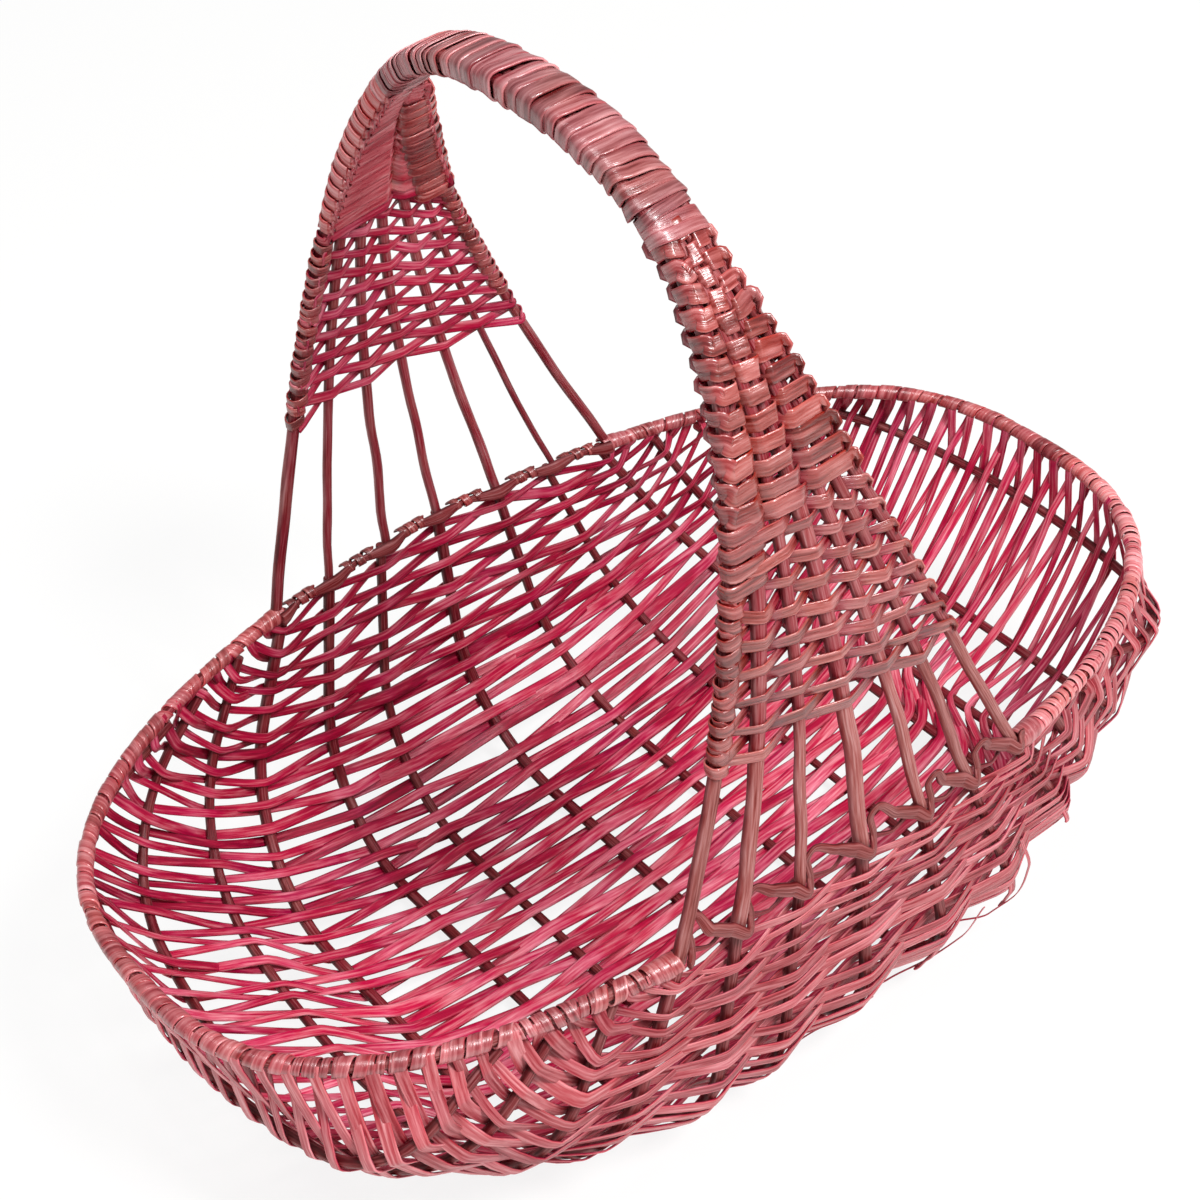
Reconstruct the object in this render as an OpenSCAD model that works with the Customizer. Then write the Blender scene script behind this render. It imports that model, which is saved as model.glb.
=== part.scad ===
// Egg collection basket, woven from round willow rods and flat split skeins.
//
// Thirteen U-shaped ribs carry the bowl: seven cross it under the handle and three more fan out at
// each end. Flat weavers run lengthwise, over one rib and under the next, up to the rim hoop of each
// end. Seven tapering rods rise from the ribs of one side, draw together into the grip and come down
// on the other side. Woven panels tie them below the grip, and flat skeins bind the grip and the rim.
// +X is the right end, +Y the back side, +Z up, and the basket stands on z = 0.

/* [Rim and bowl] */
// Length of the oval rim, to the rod's centre line
rim_length = 480; // [430:5:530]
// Width of the oval rim at the handle, to the rod's centre line
rim_width = 276; // [250:2:300]
// Height of the rim's middle above the ground
rim_height = 139; // [128:1:150]
// How far the right end of the rim hangs below its middle
right_droop = 24; // [0:1:28]
// How far the left end of the rim hangs below its middle
left_droop = 0; // [0:1:20]
// How late the rim's ends begin to hang: 1 from the middle on, more for later
droop_curve = 1.1; // [1:0.1:2.4]
// Squareness of the rim along its length
rim_square_x = 2.2; // [2:0.1:2.6]
// Squareness of the rim across its width
rim_square_y = 2.7; // [2.2:0.1:3]
// Half the length of the level floor
floor_half_length = 30; // [24:1:48]
// Squareness of the rise from the floor to the ends
keel_square = 2.4; // [2:0.05:2.8]

/* [Ribs] */
// Spacing of the handle ribs along the rim
rib_pitch_rim = 29; // [26:0.5:31]
// Spacing of the handle ribs along the floor
rib_pitch_floor = 48; // [44:0.5:50]
// Radius of the bend between wall and floor
rib_corner_radius = 64; // [50:1:68]
// Radius of that bend on the two outermost handle ribs
outer_rib_corner_radius = 76; // [60:1:80]
// How far the foot of each left end rib stands in from the tip of the rim
left_end_rib_insets = [69, 28, 8]; // [6:1:84]
// How far the foot of each right end rib stands in from the tip of the rim
right_end_rib_insets = [81, 49, 10]; // [6:1:84]
// Rows of weaving that end on the rim before each end rib starts
end_rib_rows = [4, 8, 12]; // [3:1:16]
// Distance from an end rib's top to the rows on its two sides, along the rim
end_rib_room = 3.5; // [3.2:0.1:4.2]
// Bend radius of each left end rib
left_end_rib_corners = [70, 70, 40]; // [36:1:74]
// Bend radius of each right end rib
right_end_rib_corners = [70, 70, 56]; // [44:1:74]
// Half the angle of the bowed middle of each end rib
end_rib_bows = [12, 15, 17]; // [6:1:28]
// Diameter of the end ribs
end_rib_diameter = 4.4; // [3:0.1:5]

/* [Weavers] */
// Number of weaver rows around the bowl
rows = 84; // [74:2:88]
// How much closer the rows lie on the front wall than on the back one
front_crowding = 0.08; // [0:0.01:0.16]
// Width of a flat weaver, where the rows leave it room
strip_width = 5; // [3.6:0.1:5.4]
// Width of a weaver for each millimetre that its row has, where the rows are crowded
strip_share = 0.72; // [0.66:0.02:0.76]
// Thickness of a flat weaver
strip_thickness = 1.2; // [0.8:0.1:1.5]
// Clearance between a weaver and the rod it crosses
weave_gap = 0.35; // [0.25:0.05:0.5]
// Distance from the rim to the first row, along a handle rib
first_row = 9; // [8:0.5:12]

/* [Rim hoops] */
// Diameter of the two end hoops
hoop_diameter = 4.6; // [4:0.2:7]
// Thickness of the skein bound round the hoops
wrap_thickness = 1; // [0.6:0.1:1.2]
// Width of each turn of that skein
wrap_width = 5; // [4:0.1:5.4]
// Diameter of the lashing on each hoop end
lashing_diameter = 10; // [9.6:0.2:12]
// Diameter of the thick rods that twine round the handle rods at the rim
border_diameter = 5; // [4:0.1:5.4]

/* [Handle] */
// Height of the handle's crown above the rim, to the bundle's centre
handle_rise = 282; // [260:2:300]
// Squareness of the arch
arch_square = 2.54; // [2.2:0.02:2.8]
// How far the crown leans toward the left end
handle_lean = 15.5; // [0:0.5:24]
// Height above the rim where the rods have drawn together
neck_rise = 250; // [225:1:262]
// Sideways spacing of the rods in the grip
bundle_pitch = 2.8; // [2.75:0.05:3.1]
// Distance of the two layers of rods in the grip from the middle of the bundle
layer_offset = 2.7; // [2.6:0.05:3]
// Rise of the lowest row of the front panel above the rim
front_panel_bottom = 78; // [60:1:100]
// Rise of the lowest row of the back panel above the rim
back_panel_bottom = 90; // [60:1:100]
// Rise above the rim where the panels give way to the binding
panel_top = 178; // [165:1:185]
// Rows of weaving in each panel
panel_rows = 16; // [11:1:18]
// Width of the panels' weavers halfway up
panel_strip_width = 4.6; // [3.6:0.1:5]
// Width of each turn of the grip's binding
binding_width = 5.2; // [4:0.1:5.4]
// Spacing of the turns along the handle
binding_pitch = 6.2; // [6:0.1:7]

/* [Hidden] */
$fn = 40;

bark_dark = [0.55, 0.08, 0.16];
bark_faded = [0.72, 0.36, 0.36];
skein_pink = [0.78, 0.22, 0.36];
skein_faded = [0.78, 0.42, 0.40];

// Each handle rod is thick at its butt, on the front, and thin at its tip, on the back.
butt_diameters = [5.6, 6.2, 4.6, 6.6, 4.8, 4.8, 4.8];
tip_diameters = [5.2, 3.8, 4.2, 4.0, 4.6, 3.0, 4.6];
// The ribs stand where the maker's hand put them, a little off an even spacing.
rib_drift_rim = [0, -3, -3, -1, 2, 0, -1];
rib_drift_floor = [5.5, 7.5, -5.5, -2, 1, 0, -2];

half_length = rim_length / 2;
half_width = rim_width / 2;
handle_ribs = len(butt_diameters);
middle_rib = (handle_ribs + 1) / 2;
end_ribs = len(end_rib_rows);
knuckle_swell = 0.25;
knuckle_half = 0.3;
last_rib = middle_rib - 1 + end_ribs;
hoop_radius = hoop_diameter / 2;
fit_gap = 0.4;
corner_margin = 3;
wrap_radius = hoop_radius + fit_gap + wrap_thickness;
lashing_radius = lashing_diameter / 2;

function unit(v) = v / norm(v);
function clamp(v, low, high) = min(max(v, low), high);
function smooth(t) = let (c = clamp(t, 0, 1)) c * c * (3 - 2 * c);

// Running length along a list of points, as pairs [length, value] for lookup().
function running(points) = [
    for (i = 0, s = 0; i < len(points);
         s = s + (i + 1 < len(points) ? norm(points[i + 1] - points[i]) : 0), i = i + 1) s
];
function table(points, axis, lengths) = [for (i = [0 : len(points) - 1]) [lengths[i], points[i][axis]]];

// ---- Rim -------------------------------------------------------------------------------------

function rim_half_width(x) =
    half_width * pow(1 - pow(min(abs(x) / half_length, 1), rim_square_x), 1 / rim_square_y);
function rim_z(x) =
    rim_height - (x > 0 ? right_droop : left_droop) * pow(abs(x) / half_length, droop_curve);

// One end of the rim, from the outer handle rib of the back round the tip to that of the front.
outer_rib_x = rib_pitch_rim * (handle_ribs - 1) / 2;
end_angle = acos(pow(outer_rib_x / half_length, rim_square_x / 2));
end_steps = 200;
end_outline = [
    for (i = [0 : end_steps])
        let (a = end_angle * (1 - 2 * i / end_steps))
        [half_length * pow(cos(a), 2 / rim_square_x),
         half_width * sign(a) * pow(abs(sin(a)), 2 / rim_square_y)]
];
end_lengths = running(end_outline);
end_length = end_lengths[end_steps];
end_x = table(end_outline, 0, end_lengths);
end_y = table(end_outline, 1, end_lengths);

// end is 1 for the right end and -1 for the left; s runs from the back rib to the front rib.
function rim_point(end, s) =
    let (x = end * lookup(s, end_x)) [x, lookup(s, end_y), rim_z(x)];
function rim_tangent(end, s) = unit(rim_point(end, s + 2) - rim_point(end, s - 2));

// The hoops start where they clear the outer handle rib, and rows end on them from there.
corner_gap = hoop_radius + max(butt_diameters) / 2 + 2 * fit_gap;
first_end = corner_gap + corner_margin;
row_step = (end_length - 2 * first_end - 4 * end_ribs * end_rib_room) / (rows - 1 - 2 * end_ribs);
// The rows part where an end rib starts between them.
function rib_tops_before(k) =
    len([for (n = end_rib_rows) if (k >= n) n]) + len([for (n = end_rib_rows) if (k >= rows - n) n]);
function row_end(k) = first_end + k * row_step + rib_tops_before(k) * (2 * end_rib_room - row_step);

// ---- Ribs ------------------------------------------------------------------------------------
// Ribs are numbered from -6 at the left end, through 0 under the middle of the handle, to 6.

function is_end(i) = abs(i) >= middle_rib;
function end_index(i) = abs(i) - middle_rib;
function handle_index(i) = i + middle_rib - 1;
function rib_radius(i) =
    let (h = handle_index(i))
    (is_end(i) ? end_rib_diameter : (butt_diameters[h] + tip_diameters[h]) / 2) / 2;
function rib_start(i) = is_end(i) ? row_end(end_rib_rows[end_index(i)]) - end_rib_room : 0;
function rib_rim_x(i) =
    is_end(i) ? rim_point(sign(i), rib_start(i)).x : i * rib_pitch_rim + rib_drift_rim[handle_index(i)];
function rib_foot_x(i) =
    is_end(i) ? sign(i) * (half_length - (i < 0 ? left_end_rib_insets : right_end_rib_insets)[end_index(i)])
              : i * rib_pitch_floor + rib_drift_floor[handle_index(i)];

function rib_bend(i) =
    is_end(i) ? (i < 0 ? left_end_rib_corners : right_end_rib_corners)[end_index(i)]
    : abs(i) == middle_rib - 1 ? outer_rib_corner_radius : rib_corner_radius;

// Steepest slope of a weaver between two ribs, and the offset that keeps it clear of a rod.
weave_slope = atan((max(butt_diameters) + strip_thickness + 2 * weave_gap) / rib_pitch_rim);
function weave_offset(radius) = radius / cos(weave_slope) + strip_thickness / 2 + weave_gap;

// Height of the underside of the bowl along its middle.
function keel_z(x) =
    let (t = clamp((abs(x) - floor_half_length) / (half_length - floor_half_length), 0, 1))
    rim_height * (1 - pow(1 - pow(t, keel_square), 1 / keel_square));

// A rib lies in a plane that leans out from the rim to its foot. In that plane it runs down a
// straight wall, round a bend and along the floor, which bows on the end ribs.
TOP = 0;
DOWN = 1;
DEPTH = 2;
HALF = 3;
BEND = 4;
BOW = 5;
BOW_RADIUS = 6;
WALL = 7;
REACH = 8;
function rib_shape(i) =
    let (
        top_x = rib_rim_x(i),
        half = rim_half_width(top_x),
        foot_x = rib_foot_x(i),
        foot = [foot_x, 0, keel_z(foot_x) + weave_offset(rib_radius(i)) + strip_thickness / 2],
        outward = abs(unit(foot - [top_x, 0, rim_z(top_x)]).x),
        below_hoop = wrap_radius + fit_gap + rib_radius(i) * outward,
        top = [top_x, 0, rim_z(top_x) - (is_end(i) ? below_hoop : 0)],
        depth = norm(foot - top),
        bend = rib_bend(i),
        bow = is_end(i) ? end_rib_bows[end_index(i)] : 0,
        bow_radius = bow > 0 ? (half - bend) / sin(bow) + bend : 0,
        wall = bow > 0 ? depth - bow_radius + (bow_radius - bend) * cos(bow) : depth - bend,
        floor_length = bow > 0 ? bow_radius * bow * PI / 180 : half - bend
    )
    [top, (foot - top) / depth, depth, half, bend, bow, bow_radius, wall,
     wall + bend * (90 - bow) * PI / 180 + floor_length];
rib_shapes = [for (i = [-last_rib : last_rib]) rib_shape(i)];
function shape(i) = rib_shapes[i + last_rib];

// Point, outward normal and running direction in the rib's plane, at length s from its back top.
function half_rib(f, s) =
    let (bend_end = f[REACH] - (f[BOW] > 0 ? f[BOW_RADIUS] * f[BOW] * PI / 180 : f[HALF] - f[BEND]))
    s < f[WALL] ? [[f[HALF], s], [1, 0], [0, 1]]
    : s < bend_end ?
        let (a = (s - f[WALL]) / f[BEND] * 180 / PI)
        [[f[HALF] - f[BEND] + f[BEND] * cos(a), f[WALL] + f[BEND] * sin(a)], [cos(a), sin(a)],
         [-sin(a), cos(a)]]
    : f[BOW] > 0 ?
        let (a = (f[REACH] - s) / f[BOW_RADIUS] * 180 / PI)
        [[f[BOW_RADIUS] * sin(a), f[DEPTH] - f[BOW_RADIUS] * (1 - cos(a))], [sin(a), cos(a)],
         [-cos(a), sin(a)]]
    : [[f[REACH] - s, f[DEPTH]], [0, 1], [-1, 0]];
function rib_frame(i, s) =
    let (
        f = shape(i),
        front = s > f[REACH],
        h = half_rib(f, front ? 2 * f[REACH] - s : s),
        side = front ? -1 : 1,
        d = f[DOWN]
    )
    [f[TOP] + d * h[0][1] + [0, side * h[0][0], 0],
     d * h[1][1] + [0, side * h[1][0], 0],
     side * d * h[2][1] + [0, h[2][0], 0]];

// ---- Weavers of the bowl ---------------------------------------------------------------------

function crosses(i, k) =
    !is_end(i) || (k >= end_rib_rows[end_index(i)] && k <= rows - 1 - end_rib_rows[end_index(i)]);
function row_on_rib(i, k) =
    let (reach = 2 * shape(i)[REACH], t = k / (rows - 1))
    is_end(i)
        ? reach * (row_end(k) - rib_start(i)) / (end_length - 2 * rib_start(i))
        : first_row + t * (1 + front_crowding * (1 - pow(t, 3))) * (reach - 2 * first_row);
function row_space(i, k) =
    let (low = k > 0 && crosses(i, k - 1) ? k - 1 : k, high = k < rows - 1 && crosses(i, k + 1) ? k + 1 : k)
    (row_on_rib(i, high) - row_on_rib(i, low)) / (high - low);
function weave_side(i, k) = (i + k + last_rib) % 2 == 0 ? 1 : -1;

// Four corners of a flat strip round a centre; wide runs across the strip, out through its face.
function strip_ring(centre, wide, out, width, thickness) = [
    for (c = [[-1, -1], [1, -1], [1, 1], [-1, 1]])
        centre + wide * c[0] * width / 2 + out * c[1] * thickness / 2
];
function crossing(i, k) =
    let (f = rib_frame(i, row_on_rib(i, k)))
    strip_ring(f[0] + f[1] * weave_side(i, k) * weave_offset(rib_radius(i)), f[2], f[1],
               min(strip_width, strip_share * row_space(i, k)), strip_thickness);
function ring_centre(ring) = (ring[0] + ring[1] + ring[2] + ring[3]) / 4;

// Where a row meets the hoop of an end, coming from its last crossing. It narrows to leave room for
// its neighbours.
rim_narrowing = 0.56;
function rim_landing(end, k, from) =
    let (
        hoop = rim_point(end, row_end(k)),
        along = rim_tangent(end, row_end(k)),
        near_corner = min(row_end(k), end_length - row_end(k)) < corner_gap + 3 * wrap_width,
        toward = unit(hoop - from),
        across = norm(toward - along * (toward * along)),
        stop = (near_corner ? lashing_radius : wrap_radius) + fit_gap + strip_thickness / 2,
        out = unit(cross(toward * end, along))
    )
    strip_ring(hoop - toward * stop / across, along, out, row_step * rim_narrowing, strip_thickness);

function row_rings(k) =
    let (
        ribs = [for (i = [-last_rib : last_rib]) if (crosses(i, k)) crossing(i, k)],
        first = ring_centre(ribs[0]),
        last = ring_centre(ribs[len(ribs) - 1])
    )
    concat([rim_landing(-1, k, first)], ribs, [rim_landing(1, k, last)]);

// A closed solid through rings of equally many points, counter-clockwise along the way.
module skin(rings) {
    n = len(rings);
    m = len(rings[0]);
    sides = [
        for (i = [0 : n - 2], e = [0 : m - 1])
            let (a = i * m + e, b = i * m + (e + 1) % m)
            each [[a, a + m, b], [b, a + m, b + m]]
    ];
    start_cap = [[for (e = [0 : m - 1]) e]];
    end_cap = [[for (e = [m - 1 : -1 : 0]) (n - 1) * m + e]];
    polyhedron([for (ring = rings) each ring], concat(sides, start_cap, end_cap));
}

module weaver_rows(from, to) {
    color(skein_pink)
        for (k = [from : to])
            skin(row_rings(k));
}

// ---- Round rods ------------------------------------------------------------------------------

// A rod through points, with a radius at each; level is a direction that it never runs along.
module rod(points, radii, level, sides = 7) {
    n = len(points);
    skin([
        for (j = [0 : n - 1])
            let (
                way = unit(points[min(j + 1, n - 1)] - points[max(j - 1, 0)]),
                u = unit(level - way * (level * way)),
                v = cross(way, u)
            )
            [for (e = [0 : sides - 1])
                points[j] + radii[j] * (cos(e * 360 / sides) * u + sin(e * 360 / sides) * v)]
    ]);
}

// A rib as exact bars and bends, which meet inside the slight knuckles that willow has.
module rib(i) {
    f = shape(i);
    r = rib_radius(i);
    corner = [f[HALF] - f[BEND], -f[WALL], 0];
    bent = 90 - f[BOW];
    floor_half = f[HALF] - f[BEND] - knuckle_half;
    translate(f[TOP])
        rotate([0, -atan2(f[DOWN].x, -f[DOWN].z), 0])
            rotate([90, 0, 90]) {
                for (flip = [0, 1])
                    mirror([flip, 0, 0]) {
                        translate([f[HALF], 0, 0])
                            rotate([90, 0, 0])
                                cylinder(h = f[WALL] - knuckle_half, r = r);
                        translate(corner)
                            rotate([0, 0, -bent])
                                arc_bar(f[BEND], bent, r);
                        for (a = [0, bent])
                            translate(corner + f[BEND] * [cos(a), -sin(a), 0])
                                rotate([90, 0, -a])
                                    sphere(r = r + knuckle_swell);
                    }
                if (f[BOW] > 0)
                    translate([0, f[BOW_RADIUS] - f[DEPTH], 0])
                        rotate([0, 0, -90 - f[BOW]])
                            arc_bar(f[BOW_RADIUS], 2 * f[BOW], r);
                else
                    translate([floor_half, -f[DEPTH], 0])
                        rotate([0, -90, 0])
                            cylinder(h = 2 * floor_half, r = r);
            }
}
// A bent bar from angle 0, short of both ends by half the gap inside a knuckle.
module arc_bar(radius, angle, r) {
    short = knuckle_half / radius * 180 / PI;
    rotate([0, 0, short])
        rotate_extrude(angle = angle - 2 * short)
            translate([radius, 0])
                circle(r = r);
}

module body_rib(number) {
    color(bark_dark)
        rib(number - middle_rib);
}

module end_rib(end, number) {
    color(bark_dark)
        rib(end * (middle_rib - 1 + number));
}

// ---- End hoops, their wrap and lashings ------------------------------------------------------

hoop_steps = 30;
hoop_sides = 6;
module end_hoop(end) {
    step = (end_length - 2 * corner_gap) / hoop_steps;
    points = [
        for (j = [0 : hoop_steps])
            rim_point(end, corner_gap + (end > 0 ? j : hoop_steps - j) * step)
    ];
    color(bark_faded)
        rod(points, [for (p = points) hoop_radius], [0, 0, 1], hoop_sides);
}

// A short tube round the hoop at length s.
module hoop_band(end, s, radius, width) {
    way = rim_tangent(end, s);
    translate(rim_point(end, s))
        rotate([0, acos(way.z), atan2(way.y, way.x)])
            difference() {
                cylinder(h = width, r = radius, center = true);
                cylinder(h = width + 1, r = hoop_radius + fit_gap, center = true);
            }
}

lashing_turns = 3;
lashing_step = wrap_width * 2 / 3;
lashing_taper = 0.8;
lashing_reach = corner_gap + lashing_turns * lashing_step;
wrap_space = 1.4;
module rim_wrap(end) {
    turns = floor((end_length - 2 * lashing_reach) / (wrap_width + wrap_space));
    step = (end_length - 2 * lashing_reach) / turns;
    color(skein_faded)
        for (j = [0 : turns - 1])
            hoop_band(end, lashing_reach + (j + 0.5) * step, wrap_radius, wrap_width);
}

module lashing(end, back) {
    color(skein_faded)
        for (j = [0 : lashing_turns - 1])
            let (s = corner_gap + (j + 0.5) * lashing_step)
            hoop_band(end, back ? s : end_length - s, lashing_radius - lashing_taper * j,
                      lashing_step - fit_gap);
}

// ---- Handle ----------------------------------------------------------------------------------

// The arch in the plane of the handle, from the front of the rim over the crown to the back.
arch_steps = 180;
arch_outline = [
    for (j = [0 : arch_steps])
        let (a = 180 - 180 * j / arch_steps)
        [half_width * sign(cos(a)) * pow(abs(cos(a)), 2 / arch_square),
         handle_rise * pow(abs(sin(a)), 2 / arch_square)]
];
arch_lengths = running(arch_outline);
arch_length = arch_lengths[arch_steps];
arch_y = table(arch_outline, 0, arch_lengths);
arch_z = table(arch_outline, 1, arch_lengths);
arch_rise_to_length = [for (j = [0 : arch_steps / 2]) [arch_outline[j].y, arch_lengths[j]]];
function arch_at(s) = [lookup(s, arch_y), lookup(s, arch_z)];
function arch_way(s) = unit(arch_at(s + 1) - arch_at(s - 1));
function arch_out(s) = let (w = arch_way(s)) [0, -w.y, w.x];
function arch_s(rise) = lookup(rise, arch_rise_to_length);

// How far the fan of rods is spread at length s of the arch, 1 at the rim.
grip_spread = bundle_pitch / rib_pitch_rim;
// The fan of the front bends in sooner than that of the back.
front_fan_curve = 1.2;
back_fan_curve = 1.1;
function spread(s) =
    let (left = max(0, 1 - arch_at(s)[1] / neck_rise))
    grip_spread + (1 - grip_spread) * pow(left, s > arch_length / 2 ? back_fan_curve : front_fan_curve);
function lean(rise) = -handle_lean * rise / handle_rise;
// The rods part into two layers where the fan gets too narrow for them side by side.
layers_below_top = 10;
layers_from = panel_top - layers_below_top;
layers_over = 45;
function layering(rise) = smooth((rise - layers_from) / layers_over);

function rod_radius(number, s) =
    let (butt = butt_diameters[number - 1], tip = tip_diameters[number - 1])
    (butt + (tip - butt) * s / arch_length) / 2;
function rod_point(number, s) =
    let (
        a = arch_at(s),
        rise = a[1],
        x0 = rib_rim_x(number - middle_rib),
        narrow = 1 - (1 - rim_half_width(x0) / half_width) * (1 - rise / handle_rise),
        foot_drop = (rim_height - rim_z(x0)) * (1 - rise / handle_rise),
        layer = number % 2 == 1 ? 1 : -1
    )
    [lean(rise) + x0 * spread(s), a[0] * narrow, rim_height + rise - foot_drop]
    + arch_out(s) * layer * layer_offset * layering(rise);

rod_steps = 30;
rod_foot = 0.6;
module handle_rod(number) {
    places = [for (j = [0 : rod_steps]) rod_foot + (arch_length - 2 * rod_foot) * j / rod_steps];
    color(bark_faded)
        rod([for (s = places) rod_point(number, s)], [for (s = places) rod_radius(number, s)], [1, 0, 0]);
}

// A flat weaver across the fan at length s, turned round the outer rods at both sides. The weavers
// grow wider toward the neck.
panel_widening = 0.8;
function panel_offset(number, s) =
    let (
        pitch = rib_pitch_rim * spread(s),
        r = rod_radius(number, s),
        slope = atan(2 * (r + strip_thickness + weave_gap) / pitch)
    )
    r / cos(slope) + strip_thickness / 2 + weave_gap;
function panel_rings(s, side, phase, width) =
    let (
        out = arch_out(s),
        wide = cross(out, [1, 0, 0]),
        turn = strip_thickness / 2 + weave_gap,
        sign_of = function (number) (number + phase) % 2 == 0 ? 1 : -1,
        left = rod_point(1, s) - [rod_radius(1, s) + turn, 0, 0],
        right = rod_point(handle_ribs, s) + [rod_radius(handle_ribs, s) + turn, 0, 0]
    )
    concat(
        [strip_ring(left, wide, [-sign_of(1), 0, 0], width, strip_thickness)],
        [for (number = [1 : handle_ribs])
            strip_ring(rod_point(number, s) + out * sign_of(number) * panel_offset(number, s), wide, out,
                       width, strip_thickness)],
        [strip_ring(right, wide, [sign_of(handle_ribs), 0, 0], width, strip_thickness)]
    );
module panel(back) {
    low = arch_s(back ? back_panel_bottom : front_panel_bottom);
    high = arch_s(panel_top);
    color(skein_faded)
        for (j = [0 : panel_rows - 1])
            let (
                s = low + (high - low) * j / (panel_rows - 1),
                width = panel_strip_width + panel_widening * (j / (panel_rows - 1) - 0.5)
            )
            skin(panel_rings(back ? arch_length - s : s, back ? 1 : -1, j, width));
}

// One turn of the binding: a flat band round all the rods at length s.
outer_chamfer = 2 - sqrt(2);
module binding_turn(s) {
    low = s + (s > arch_length / 2 ? 1 : -1) * binding_width / 2;
    way = arch_way(s);
    centre = lean(arch_at(s)[1]);
    thickest = max([for (number = [1 : handle_ribs]) rod_radius(number, low)]);
    reach = outer_rib_x * spread(low) + thickest + 2 * fit_gap;
    deep = thickest + layer_offset * layering(arch_at(low)[1]) + 2 * fit_gap;
    chamfer = deep / 2;
    translate([centre, arch_at(s)[0], rim_height + arch_at(s)[1]])
        rotate([atan2(-way.x, way.y), 0, 0])
            linear_extrude(height = binding_width, center = true)
                difference() {
                    chamfered(reach + wrap_thickness, deep + wrap_thickness,
                              chamfer + wrap_thickness * outer_chamfer);
                    chamfered(reach, deep, chamfer);
                }
}
module chamfered(w, h, c) {
    polygon([
        [w, h - c], [w - c, h], [c - w, h], [-w, h - c],
        [-w, c - h], [c - w, -h], [w - c, -h], [w, c - h]
    ]);
}

panel_end = arch_s(panel_top) + strip_width;
neck_turns = floor((arch_s(neck_rise) - panel_end) / binding_pitch);
grip_start = panel_end + neck_turns * binding_pitch;
module neck_binding(back) {
    color(skein_faded)
        for (j = [0 : neck_turns - 1])
            let (s = panel_end + (j + 0.5) * binding_pitch)
            binding_turn(back ? arch_length - s : s);
}
module grip_binding() {
    turns = floor((arch_length - 2 * grip_start) / binding_pitch);
    step = (arch_length - 2 * grip_start) / turns;
    color(skein_faded)
        for (j = [0 : turns - 1])
            binding_turn(grip_start + (j + 0.5) * step);
}

border_clearance = 2;
// Two thick rods twined along the rim of one side: each passes outside one handle rod and inside
// the next, and they cross between the rods.
module border_rods(back) {
    rise = border_diameter / 2 + border_clearance;
    s = back ? arch_length - arch_s(rise) : arch_s(rise);
    r = border_diameter / 2;
    slope = atan((max(butt_diameters) + border_diameter) / rib_pitch_rim);
    swing = r / cos(slope) + fit_gap;
    out = [0, back ? 1 : -1, 0];
    color(bark_faded)
        for (strand = [1, -1]) {
            at_rods = [
                for (number = [1 : handle_ribs])
                    let (side = strand * (number % 2 == 0 ? 1 : -1))
                    rod_point(number, s)
                    + out * side * ((rod_radius(number, s) + r) / cos(slope) + fit_gap)
            ];
            between = [
                for (number = [1 : handle_ribs - 1])
                    (rod_point(number, s) + rod_point(number + 1, s)) / 2 + [0, 0, strand * swing]
            ];
            tail = [-rib_pitch_rim / 8, 0, 0];
            points = concat(
                [at_rods[0] + tail],
                [for (j = [0 : handle_ribs - 2]) each [at_rods[j], between[j]]],
                [at_rods[handle_ribs - 1], at_rods[handle_ribs - 1] - tail]
            );
            rod(points, [for (p = points) r], [0, 0, 1]);
        }
}

wall_rows = floor(rows / 3);
end_hoop(-1);  // left_end_hoop
end_hoop(1);  // right_end_hoop
handle_rod(1);  // handle_rod_1
handle_rod(2);  // handle_rod_2
handle_rod(3);  // handle_rod_3
handle_rod(4);  // handle_rod_4
handle_rod(5);  // handle_rod_5
handle_rod(6);  // handle_rod_6
handle_rod(7);  // handle_rod_7
body_rib(1);  // body_rib_1
body_rib(2);  // body_rib_2
body_rib(3);  // body_rib_3
body_rib(4);  // body_rib_4
body_rib(5);  // body_rib_5
body_rib(6);  // body_rib_6
body_rib(7);  // body_rib_7
end_rib(-1, 1);  // left_end_rib_1
end_rib(-1, 2);  // left_end_rib_2
end_rib(-1, 3);  // left_end_rib_3
end_rib(1, 1);  // right_end_rib_1
end_rib(1, 2);  // right_end_rib_2
end_rib(1, 3);  // right_end_rib_3
weaver_rows(0, wall_rows - 1);  // back_wall_weavers
weaver_rows(wall_rows, rows - wall_rows - 1);  // floor_weavers
weaver_rows(rows - wall_rows, rows - 1);  // front_wall_weavers
border_rods(false);  // front_border_rods
border_rods(true);  // back_border_rods
panel(false);  // front_panel_weavers
panel(true);  // back_panel_weavers
neck_binding(false);  // front_neck_binding
neck_binding(true);  // back_neck_binding
grip_binding();
rim_wrap(-1);  // left_rim_wrap
rim_wrap(1);  // right_rim_wrap
lashing(-1, false);  // lashing_front_left
lashing(1, false);  // lashing_front_right
lashing(-1, true);  // lashing_back_left
lashing(1, true);  // lashing_back_right
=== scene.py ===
import bisect
import math
import random

import bpy
from bpy.props import FloatProperty, FloatVectorProperty, IntProperty, PointerProperty
from mathutils import Matrix, Vector, noise


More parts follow.
